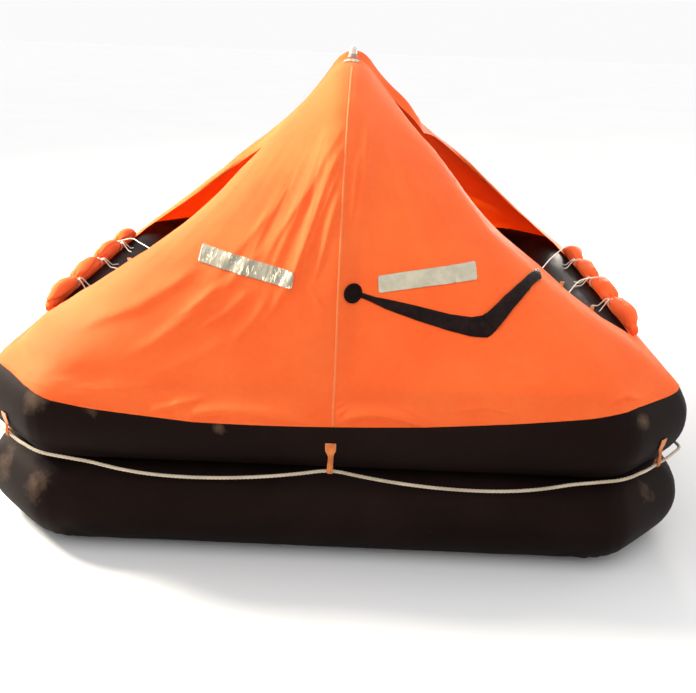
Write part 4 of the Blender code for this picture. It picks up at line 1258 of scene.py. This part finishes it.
# %% Patch below the lamp
PATCH_AT = (-0.003, -0.066)
PATCH_LENGTH = 0.058
PATCH_DEEP = 0.056
PATCH_LIFT = 0.0020
PATCH_RIPPLE = 0.0012
patch = new_grid(40, 16)
for vertex in patch.data.vertices:
    x = vertex.co.x * PATCH_LENGTH + PATCH_AT[0]
    y = vertex.co.y * PATCH_DEEP + PATCH_AT[1]
    hit, normal, _, _ = canopy_tree.ray_cast(Vector((x, y, 3.0)), Vector((0, 0, -1)))
    ripple = abs(noise.noise(Vector((x * 70, y * 40, 2.0))))
    vertex.co = hit + normal * (PATCH_LIFT + PATCH_RIPPLE * ripple)
modify(patch, "SOLIDIFY", thickness=FILM_THICK, offset=0.0)
# The patch takes the tape's finish, so it has the same painted highlights.
seat(patch, "lamp_patch", "retroreflective_tape", tape_finish("lamp_patch", 0.8, 0.0, (0.0, 1.39)))

# %% [markdown]
# The lifeline is laid rope: three strands wound round each other. It runs through eight webbing
# tabs and hangs in a shallow curve between them. The strands are modelled, since the twist is what
# makes a rope a rope; the route comes from the ring's own straight lengths.

# %% Route of the lifeline
ROPE_R = 0.0055
STRAND_R = 0.0026
ROPE_PITCH = 0.036
ROPE_TAB = (0.136, 0.300)
ROPE_SAG = (0.122, 0.244)
CORNER_OUT = 0.012
CORNER_REACH = 0.10
CORNER_UP = 0.022
CORNER_UP_REACH = 0.17
# How much higher the rope hangs in each tab, from the near right corner round to the near side
TAB_UP = (0.009, 0.0, 0.0, 0.0, 0.0, 0.0, 0.022, 0.0)
TAB_LET_GO = 0.08
TAB_STRAIGHT = 0.020
SPLICE_HALF = 0.012
ROUTE_STEP = 0.004
SMOOTH_HALF = 6


def ring_normals():
    corners = ring_corners()
    ahead = [np.subtract(b, a) for a, b in zip(corners, corners[1:] + corners[:1])]
    return [np.array([run[1], -run[0]]) / np.linalg.norm(run) for run in ahead]


def ring_lengths():
    corners = ring_corners()
    return [math.dist(a, b) for a, b in zip(corners, corners[1:] + corners[:1])]


def rope_point(place):
    """The rope at a distance round the centreline: straight in each tab, and sagging between them."""
    corners, normals, lengths = ring_corners(), ring_normals(), ring_lengths()
    edge = 0
    place = place % sum(lengths)
    while place > lengths[edge]:
        place -= lengths[edge]
        edge += 1
    start, end = np.array(corners[edge]), np.array(corners[(edge + 1) % 8])
    spot = start + (end - start) * place / lengths[edge]
    other = edge - 1 if place < lengths[edge] / 2 else (edge + 1) % 8
    blend = 0.5 * max(0.0, 1 - min(place, lengths[edge] - place) / CORNER_REACH)
    out = normals[edge] * (1 - blend) + normals[other] * blend
    out /= np.linalg.norm(out)
    between = (lengths[edge] + lengths[other]) / 2 - 2 * TAB_STRAIGHT
    from_tab = max(0.0, abs(place - lengths[edge] / 2) - TAB_STRAIGHT)
    slack = 1 - (2 * from_tab / between - 1) ** 2
    reach = ROPE_TAB[0] + (ROPE_SAG[0] - ROPE_TAB[0]) * slack + CORNER_OUT * 2 * blend
    share = from_tab / between
    lifted = TAB_UP[edge] * (1 - share) + TAB_UP[other] * share
    at_corner_up = CORNER_UP * math.exp(-(min(place, lengths[edge] - place) / CORNER_UP_REACH) ** 2)
    lifted += at_corner_up * float(smoothstep(from_tab, 0.0, TAB_LET_GO))
    return (*(spot + out * reach), ROPE_TAB[1] + (ROPE_SAG[1] - ROPE_TAB[1]) * slack + lifted)


lengths = ring_lengths()
far_tab = sum(lengths[:3]) + lengths[3] / 2
around = sum(lengths)
count = int(around / ROUTE_STEP)
loop = np.array([rope_point(far_tab + around * k / count) for k in range(count)])
turned = [np.roll(loop, k, axis=0) for k in range(-SMOOTH_HALF, SMOOTH_HALF + 1)]
smooth_loop = sum(turned) / len(turned)
skip = int(SPLICE_HALF / ROUTE_STEP)
rope_route = smooth_loop[skip:len(smooth_loop) - skip + 1]


# %% Strands of the lifeline
def twisted(name, route, radius, strand, pitch, sides=6):
    """Three strands wound round a route, as one mesh with closed ends."""
    route = np.asarray(route)
    steps = np.linalg.norm(np.diff(route, axis=0), axis=1)
    run = np.concatenate([[0], np.cumsum(steps)])
    verts, faces = [], []
    tangents = np.gradient(route, axis=0)
    tangents /= np.linalg.norm(tangents, axis=1, keepdims=True)
    side = np.cross(tangents, (0.0, 0.0, 1.0))
    side /= np.linalg.norm(side, axis=1, keepdims=True)
    up = np.cross(side, tangents)
    for lay in range(3):
        turn = 2 * math.pi * (run / pitch + lay / 3)
        middle = route + (radius - strand) * (side * np.cos(turn)[:, None] + up * np.sin(turn)[:, None])
        base = len(verts)
        for k in range(sides):
            angle = 2 * math.pi * k / sides
            ring = middle + strand * (side * math.cos(angle) + up * math.sin(angle))
            verts.append(ring)
        count = len(route)
        for k in range(sides):
            a, b = (base + k) * count, (base + (k + 1) % sides) * count
            faces += [(a + i, a + i + 1, b + i + 1, b + i) for i in range(count - 1)]
        faces.append(tuple((base + k) * count for k in range(sides)))
        faces.append(tuple((base + k) * count + count - 1 for k in reversed(range(sides))))
    shape = bpy.data.meshes.new(name)
    shape.from_pydata(np.concatenate(verts).tolist(), [], faces)
    piece = bpy.data.objects.new(name, shape)
    bpy.context.scene.collection.objects.link(piece)
    edit(piece)
    leave_outwards()
    return piece


def rope_fibre(name, colour, dark):
    finish, tree, shader, where = new_finish(name, Roughness=0.8, Specular_IOR_Level=0.25, Sheen_Weight=0.15)
    dirty = grain(tree, where, 7.0, detail=6.0)
    hairs = grain(tree, where, 900.0, detail=2.0)
    base = blend_colour(tree, ramp(tree, dirty, (0.42, 0.0), (0.70, 1.0)), colour, dark)
    tree.links.new(base, shader.inputs["Base Color"])
    bumps(tree, shader, (hairs, 0.35, 0.0005))
    return finish


rope_finish = rope_fibre("lifeline_fibre", (0.53, 0.44, 0.33, 1), (0.36, 0.28, 0.19, 1))
lifeline = twisted("lifeline_strands", rope_route, ROPE_R, STRAND_R, ROPE_PITCH)
seat(lifeline, "lifeline_strands", "white_rope", rope_finish, "lifeline")

# %% [markdown]
# The rope's two ends meet in the far middle tab, under a binding of thin cord: one ring of cord
# beside the other, along the joint.

# %% Binding of the lifeline's ends
BINDING_TURNS = 12
BINDING_CORD = 0.0014


def torus(place, major, minor, turn, segments=28):
    bpy.ops.object.select_all(action="DESELECT")
    bpy.ops.mesh.primitive_torus_add(major_radius=major, minor_radius=minor, major_segments=segments,
                                     minor_segments=8, location=place, rotation=turn)
    return bpy.context.object


def joined(pieces):
    bpy.ops.object.select_all(action="DESELECT")
    for piece in pieces:
        piece.select_set(True)
    bpy.context.view_layer.objects.active = pieces[0]
    bpy.ops.object.join()
    return bpy.context.object


joint = rope_point(far_tab)
turns = []
for k in range(BINDING_TURNS):
    along = (k - (BINDING_TURNS - 1) / 2) * BINDING_CORD * 2
    turns.append(torus((joint[0] + along, joint[1], joint[2]), ROPE_R + 0.0004, BINDING_CORD,
                       (0, math.radians(90), 0), 24))
binding = joined(turns)
seat(binding, "lifeline_binding", "white_rope", rope_finish)

# %% [markdown]
# Each tab is one strap of orange webbing: glued flat to the upper tube, then pinched together and
# stitched into a loop round the rope. It is made from a grid, as long as the rope's height in it
# asks, and set at the middle of each of the ring's eight straight lengths.

# %% Webbing tabs
TAB_WIDTH = 0.032
TAB_THICK = 0.0024
TAB_LOOP_WIDTH = 0.015
TAB_TOP_DEG = -7.0
TAB_LEAVE_DEG = -20.0
TAB_ROWS = 48
LOOP_DEGREES = (30, 0, -35, -70, -105, -140, -175, -210, -240)


def tab_route(up):
    """Down the tube's skin, off it, and once round the rope, in the plane of distance and height."""
    skin = TUBE_R + 0.0006 + TAB_THICK / 2
    line = []
    for k in range(7):
        angle = math.radians(TAB_TOP_DEG + (TAB_LEAVE_DEG - TAB_TOP_DEG) * k / 6)
        line.append((skin * math.cos(angle), UPPER_Z + skin * math.sin(angle)))
    loop_r = ROPE_R + 0.0009 + TAB_THICK / 2
    for degrees in LOOP_DEGREES:
        angle = math.radians(degrees)
        line.append((ROPE_TAB[0] + loop_r * math.cos(angle), ROPE_TAB[1] + up + loop_r * math.sin(angle)))
    line.append((ROPE_TAB[0] - 0.0035, ROPE_TAB[1] + up + 0.016))
    return np.array(line)


def webbing():
    finish, tree, shader, where = new_finish("tab_webbing", Roughness=0.7, Specular_IOR_Level=0.3,
                                             Sheen_Weight=0.2)
    patchy = grain(tree, where, 40.0, detail=5.0)
    ribs = add(tree, "ShaderNodeTexWave", {"Vector": where, "Scale": 95.0}, bands_direction="Z")
    base = blend_colour(tree, ramp(tree, patchy, (0.38, 0.0), (0.66, 1.0)),
                        (0.56, 0.165, 0.030, 1), (0.38, 0.095, 0.020, 1))
    tree.links.new(base, shader.inputs["Base Color"])
    bumps(tree, shader, (ribs.outputs["Fac"], 0.4, 0.0006), (patchy, 0.2, 0.001))
    return finish


webbing_finish = webbing()


def webbing_tab(up):
    """One tab as if on a tube that runs along X, facing +Y, with the rope this much higher in it."""
    line = tab_route(up)
    steps = np.concatenate([[0], np.cumsum(np.linalg.norm(np.diff(line, axis=0), axis=1))])
    skin_end = steps[6]
    tab = new_grid(10, TAB_ROWS)
    points = places(tab)
    for index, (across, along, _) in enumerate(points):
        t = (along + 0.5) * steps[-1]
        out, height = np.interp(t, steps, line[:, 0]), np.interp(t, steps, line[:, 1])
        pinch = float(smoothstep(t, skin_end - 0.012, skin_end + 0.014))
        wide = TAB_WIDTH + (TAB_LOOP_WIDTH - TAB_WIDTH) * pinch
        pleat = 0.0016 * pinch * math.cos(across * 4 * math.pi)
        points[index] = (across * wide + 0.0012 * pinch * math.sin(t * 90), out + pleat, height)
    put_places(tab, points)
    edit(tab)
    leave_outwards()
    modify(tab, "SOLIDIFY", thickness=TAB_THICK, offset=0.0)
    modify(tab, "BEVEL", width=0.0005, segments=2, limit_method="ANGLE")
    return tab


# %% Set the tabs on the tube
def onto_length(index):
    """What moves a piece from a tube along X, facing +Y, to the middle of one of the straight lengths."""
    corners, normal = ring_corners(), ring_normals()[index]
    middle = (np.array(corners[index]) + np.array(corners[(index + 1) % 8])) / 2
    heading = math.atan2(normal[1], normal[0]) - math.pi / 2
    return Matrix.Translation((*middle, 0.0)) @ Matrix.Rotation(heading, 4, "Z")


for index, up in enumerate(TAB_UP):
    piece = webbing_tab(up)
    piece.data.transform(onto_length(index))
    seat(piece, f"tab_{index}", "orange_webbing", webbing_finish, f"lifeline_tab_{index}", angle=40)

# %% [markdown]
# Each roll is bound at its ties with thin white cord: two turns, a knot, and two loose tails that
# drop onto the tube inside the door. A tail is a free cord, so it has a real length and route.

# %% Where the rolls lie
CORD_R = 0.0023
PINCH_R = 0.021
KNOT_R = 0.0042
ROLL_SEAT_DEG = 65
roll_low, roll_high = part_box("door_roll_right")
ROLL_R = (roll_high.x - roll_low.x) / 2
ROLL_LEAN = math.radians(ROLL_SEAT_DEG + ROLL_IN_DEG)
middle_x = (roll_high.x + roll_low.x) / 2
middle_z = (roll_high.z + roll_low.z) / 2
roll_reach = math.hypot(middle_x - HALF_WIDTH, middle_z - UPPER_Z)
ROLL_X = HALF_WIDTH + roll_reach * math.cos(ROLL_LEAN)
ROLL_Z = UPPER_Z + roll_reach * math.sin(ROLL_LEAN)
cord_finish = rope_fibre("tie_cord", (0.84, 0.72, 0.58, 1), (0.66, 0.50, 0.38, 1))
print("right roll's middle at x", round(ROLL_X, 4), "z", round(ROLL_Z, 4))


# %% Helpers for free cords
def smooth_line(points, count):
    """Points evenly along a smooth curve through a few given ones."""
    points = np.array(points, float)
    t = np.arange(len(points))
    fine = np.linspace(0, len(points) - 1, 400)
    ends = np.vstack([2 * points[0] - points[1], points, 2 * points[-1] - points[-2]])
    result = []
    for value in fine:
        k = min(int(value), len(points) - 2)
        u = value - k
        a, b, c, d = ends[k:k + 4]
        result.append(0.5 * (2 * b + (c - a) * u + (2 * a - 5 * b + 4 * c - d) * u * u
                             + (3 * b - a - 3 * c + d) * u ** 3))
    result = np.array(result)
    run = np.concatenate([[0], np.cumsum(np.linalg.norm(np.diff(result, axis=0), axis=1))])
    even = np.linspace(0, run[-1], count)
    return np.stack([np.interp(even, run, result[:, k]) for k in range(3)], axis=1)


def free_cord(name, points, finish, slot, radius=CORD_R, count=24, **facts):
    """A thin cord along a smooth curve, as a curve piece."""
    path = smooth_line(points, count)
    data = bpy.data.curves.new(name, "CURVE")
    data.dimensions = "3D"
    data.bevel_depth = radius
    data.bevel_resolution = 3
    data.use_fill_caps = True
    spline = data.splines.new("POLY")
    spline.points.add(len(path) - 1)
    for point, place in zip(spline.points, path):
        point.co = (*place, 1.0)
    piece = bpy.data.objects.new(name, data)
    bpy.context.scene.collection.objects.link(piece)
    data.materials.append(finish)
    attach(piece, "root")
    return piece


def on_ring(side, y, degrees, off):
    """A place on the upper tube's skin beside a door, at an angle round the tube."""
    angle = math.radians(degrees)
    reach = TUBE_R + off
    return (side * (HALF_WIDTH + reach * math.cos(angle)), y, UPPER_Z + reach * math.sin(angle))


# %% Ties and their tails
# Each tie's two tails: number, drift along the roll, reach inwards, degrees round the tube at the end
TAILS = (
    ((0, -0.050, 0.9, 92.0), (1, 0.016, 1.2, 96.0)),
    ((0, 0.040, 1.0, 95.0), (1, -0.018, 1.3, 101.0)),
    ((0, -0.040, 1.1, 95.0), (1, 0.026, 0.9, 91.0)),
)
for side, word in ((-1, "left"), (1, "right")):
    for index, y in enumerate(TIE_Y):
        drop = ROLL_R - PINCH_R
        x = side * (ROLL_X - drop * math.cos(ROLL_LEAN))
        z = ROLL_Z - drop * math.sin(ROLL_LEAN)
        rings = [torus((x, y + shift, z), PINCH_R + 0.0012, CORD_R, (math.radians(90), 0, 0))
                 for shift in (-CORD_R, CORD_R)]
        knot_reach = PINCH_R + 0.004
        knot_at = Vector((x - side * knot_reach * 0.80, y, z + knot_reach * 0.60))
        rings.append(torus(knot_at, KNOT_R, CORD_R, (0.4, 0.9 * side, 0.3), 16))
        beside = knot_at + Vector((-side * 0.003, 0.002, 0.001))
        rings.append(torus(beside, KNOT_R, CORD_R, (1.5, 0.3, 0.8 * side), 16))
        seat(joined(rings), f"tie_{word}_{index}", "white_rope", cord_finish)
        for end, drift, reach_in, far in TAILS[index]:
            start = knot_at + Vector((-side * 0.004, drift * 0.10, 0.001))
            path = [start, knot_at + Vector((-side * 0.010 * reach_in, drift * 0.35, 0.003)),
                    on_ring(side, y + drift * 0.7, 87 - 3 * (1 - reach_in), CORD_R + 0.0035),
                    on_ring(side, y + drift * 0.95, (86 + far) / 2, CORD_R + 0.001),
                    on_ring(side, y + drift * 1.25, far, CORD_R + 0.001)]
            free_cord(f"tie_tail_{word}_{index}_{end}", path, cord_finish, "white_rope", far_end="bare",
                      stiffness="limp", lay="hanging")

# %% [markdown]
# Thin cords also run from each door's near edge across to the roll, to close the flap with. Short
# webbing tags stand on the same edge, between them.

# %% Door cords and tags
TAG_LENGTH = 0.042
TAG_WIDTH = 0.013
TAG_THICK = 0.0026
TAG_DROOP = 0.10


def door_tag(name, place, heading):
    """A short tag of webbing that stands out from the door's edge."""
    piece = new_grid(10, 4)
    for vertex in piece.data.vertices:
        along = (vertex.co.x + 0.5) * TAG_LENGTH
        droop = -TAG_DROOP * along * along / TAG_LENGTH
        vertex.co = (along, vertex.co.y * TAG_WIDTH, droop + 0.0012 * math.sin(along * 160))
    modify(piece, "SOLIDIFY", thickness=TAG_THICK, offset=0.0)
    ahead = Vector(heading).normalized()
    across = ahead.cross(Vector((0, 0, 1))).normalized()
    frame_of = Matrix((ahead, across, across.cross(ahead) * -1)).transposed().to_4x4()
    piece.data.transform(Matrix.Translation(place) @ frame_of)
    edit(piece)
    leave_outwards()
    seat(piece, name, "orange_webbing", webbing_finish, angle=40)


def on_lip(x, y, z):
    """The nearest place on the cloth's open edge."""
    return lip.find(Vector((x, y, z)))[0]


DOOR_TAGS = (
    ("right_0", (0.727, -0.798, 0.755), (0.35, 0.93, 0.20)),
    ("right_1", (0.840, -0.784, 0.673), (0.30, 0.94, 0.16)),
    ("left_0", (-0.700, -0.797, 0.787), (-0.35, 0.93, 0.20)),
)
TAG_LAP = 0.010
CLOTH_UNDER = Vector((0, 0, 0.004))
for label, place, heading in DOOR_TAGS:
    door_tag("door_tag_" + label, on_lip(*place) - Vector(heading) * TAG_LAP - CLOTH_UNDER, heading)

DOOR_CORDS = (
    ("right_0", ((0.755, -0.798, 0.734), (0.84, -0.56, 0.715), (0.95, -0.30, 0.668), (1.018, -0.07, 0.612),
                 (1.030, -0.015, 0.598))),
    ("right_1", ((0.661, -0.783, 0.806), (0.78, -0.30, 0.735), (0.93, 0.30, 0.640), (1.020, 0.655, 0.582))),
    ("left_0", ((-0.632, -0.772, 0.820), (-0.78, -0.30, 0.735), (-0.93, 0.20, 0.642),
                (-1.022, 0.325, 0.600))),
)
DOOR_CORD_R = 0.0019
for label, points in DOOR_CORDS:
    points = (on_lip(*points[0]) - CLOTH_UNDER, *points[1:])
    free_cord("door_cord_" + label, points, cord_finish, "white_rope", radius=DOOR_CORD_R, far_end="object",
              stiffness="limp", lay="hanging", count=30)

# %% [markdown]
# On the far corners sit the inflation valves, each a knurled cap on a flange, and the patch that
# the painter is tied to: a rubber pad with a groove round its edge, and a steel ring in a strap.

# %% Valves
def steel():
    finish, tree, shader, where = new_finish("valve_steel", Roughness=0.38, Metallic=1.0)
    worn = grain(tree, where, 120.0, detail=5.0)
    tree.links.new(ramp(tree, worn, (0.35, (0.24, 0.24, 0.25)), (0.7, (0.42, 0.42, 0.43))),
                   shader.inputs["Base Color"])
    tree.links.new(ramp(tree, worn, (0.3, 0.30), (0.7, 0.48)), shader.inputs["Roughness"])
    return finish


steel_finish = steel()
VALVE_R = 0.030
VALVE_TALL = 0.016
FLANGE = 0.004
CAP_R = 0.021
CAP_TALL = VALVE_TALL - FLANGE - 0.0005
VALVE_ALONG = 0.070
KNURL_DEEP = 0.0009
FAR_RIGHT_LENGTH = 2
FAR_LEFT_LENGTH = 4


def on_cap_side(face):
    middle = face.calc_center_median()
    return (abs(face.normal.z) < 0.3 and face.calc_area() > 0.00001
            and math.hypot(*middle.xy) > CAP_R - 0.002 and middle.z > FLANGE)


for word, along, z in (("upper", VALVE_ALONG, UPPER_Z), ("lower", -VALVE_ALONG, LOWER_Z)):
    valve = new_cylinder(ROUND_SIDES, VALVE_R, FLANGE, (0, 0, FLANGE / 2))
    edit(valve)
    pick(valve, "FACE", lambda f: len(f.verts) == ROUND_SIDES and f.normal.z > 0.5)
    terrace((0, 0, 1), (VALVE_R - CAP_R, CAP_TALL), (0.006, -0.003), (0.005, 0.0025))
    bpy.ops.mesh.select_all(action="DESELECT")
    knurls = pick(valve, "FACE", on_cap_side)
    bpy.ops.mesh.inset(thickness=0.0005, use_individual=True)
    bpy.ops.mesh.extrude_region_shrink_fatten(TRANSFORM_OT_shrink_fatten={"value": KNURL_DEEP})
    leave_edit()
    stand = Matrix.Translation((along, TUBE_R + 0.0004, z)) @ Matrix.Rotation(math.radians(-90), 4, "X")
    valve.data.transform(onto_length(FAR_LEFT_LENGTH) @ stand)
    seat(valve, "valve_cap_" + word, "valve_metal", steel_finish, "valve_" + word, angle=35)
    print("valve", word, "has", knurls, "knurls")

# %% Painter's patch
PAD = (0.140, 0.0055, 0.070)
RING_R = 0.018
RING_WIRE_R = 0.0032
bpy.ops.object.select_all(action="DESELECT")
bpy.ops.mesh.primitive_cube_add(size=1.0)
pad = bpy.context.object
edit(pad)
bpy.ops.mesh.select_all(action="SELECT")
bpy.ops.transform.resize(value=PAD)
bpy.ops.mesh.select_all(action="DESELECT")
pick(pad, "FACE", lambda f: f.normal.y > 0.9)
for width, height in ((0.008, -0.0012), (0.002, 0.0012)):
    bpy.ops.mesh.inset(thickness=width)
    bpy.ops.transform.translate(value=(0, height, 0))
leave_edit()
modify(pad, "BEVEL", width=0.0012, segments=3, limit_method="ANGLE")
set_down = onto_length(FAR_RIGHT_LENGTH)
pad.data.transform(set_down @ Matrix.Translation((0, TUBE_R + 0.0003 + PAD[1] / 2, LOWER_Z)))
seat(pad, "painter_pad", "black_rubber", rubber, "painter_patch", angle=35)
ring_at = (0, TUBE_R + PAD[1] + 0.006, LOWER_Z - 0.020)
ring = torus(ring_at, RING_R, RING_WIRE_R, (math.radians(90), 0, 0), 40)
bpy.ops.object.transform_apply(location=True, rotation=True)
ring.data.transform(set_down)
seat(ring, "painter_ring", "valve_metal", steel_finish)
STRAP_WIDTH = 0.026
STRAP_LENGTH = 0.058
STRAP_HUMP = 0.0092
strap = new_grid(6, 24)
for vertex in strap.data.vertices:
    t = vertex.co.y + 0.5
    hump = math.sin(math.pi * min(1.0, max(0.0, (t - 0.25) / 0.5)))
    out = TUBE_R + PAD[1] + 0.0018 + STRAP_HUMP * hump ** 0.7
    vertex.co = (vertex.co.x * STRAP_WIDTH, out, LOWER_Z + (t - 0.5) * STRAP_LENGTH)
modify(strap, "SOLIDIFY", thickness=0.002, offset=0.0)
strap.data.transform(set_down)
edit(strap)
leave_outwards()
seat(strap, "painter_strap", "orange_webbing", webbing_finish, angle=40)

# %% [markdown]
# Under the floor lie the four water pockets. At sea they fill and hang; on land they are folded
# flat: each is a pad of cloth with a few soft creases across it.

# %% Water pockets
POCKET_SLICES = 20
for index in range(4):
    node = f"water_pocket_{index}"
    low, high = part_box(node)
    pocket = copy_of(node, node + "_cloth")
    edit(pocket)
    for axis in (0, 1):
        slice_across(axis, low[axis], high[axis], POCKET_SLICES)
    leave_edit()
    points = places(pocket)
    middle_z = (low.z + high.z) / 2
    crinkle = cloth_noise(points * np.array([1.0, 2.6, 1.0]), 8.0, index + 5)
    points[:, 2] -= (points[:, 2] - middle_z) * (0.20 + 0.55 * np.abs(crinkle))
    put_places(pocket, points)
    seat(pocket, node + "_cloth", "black_coated_cloth", sleeve_finish, node)
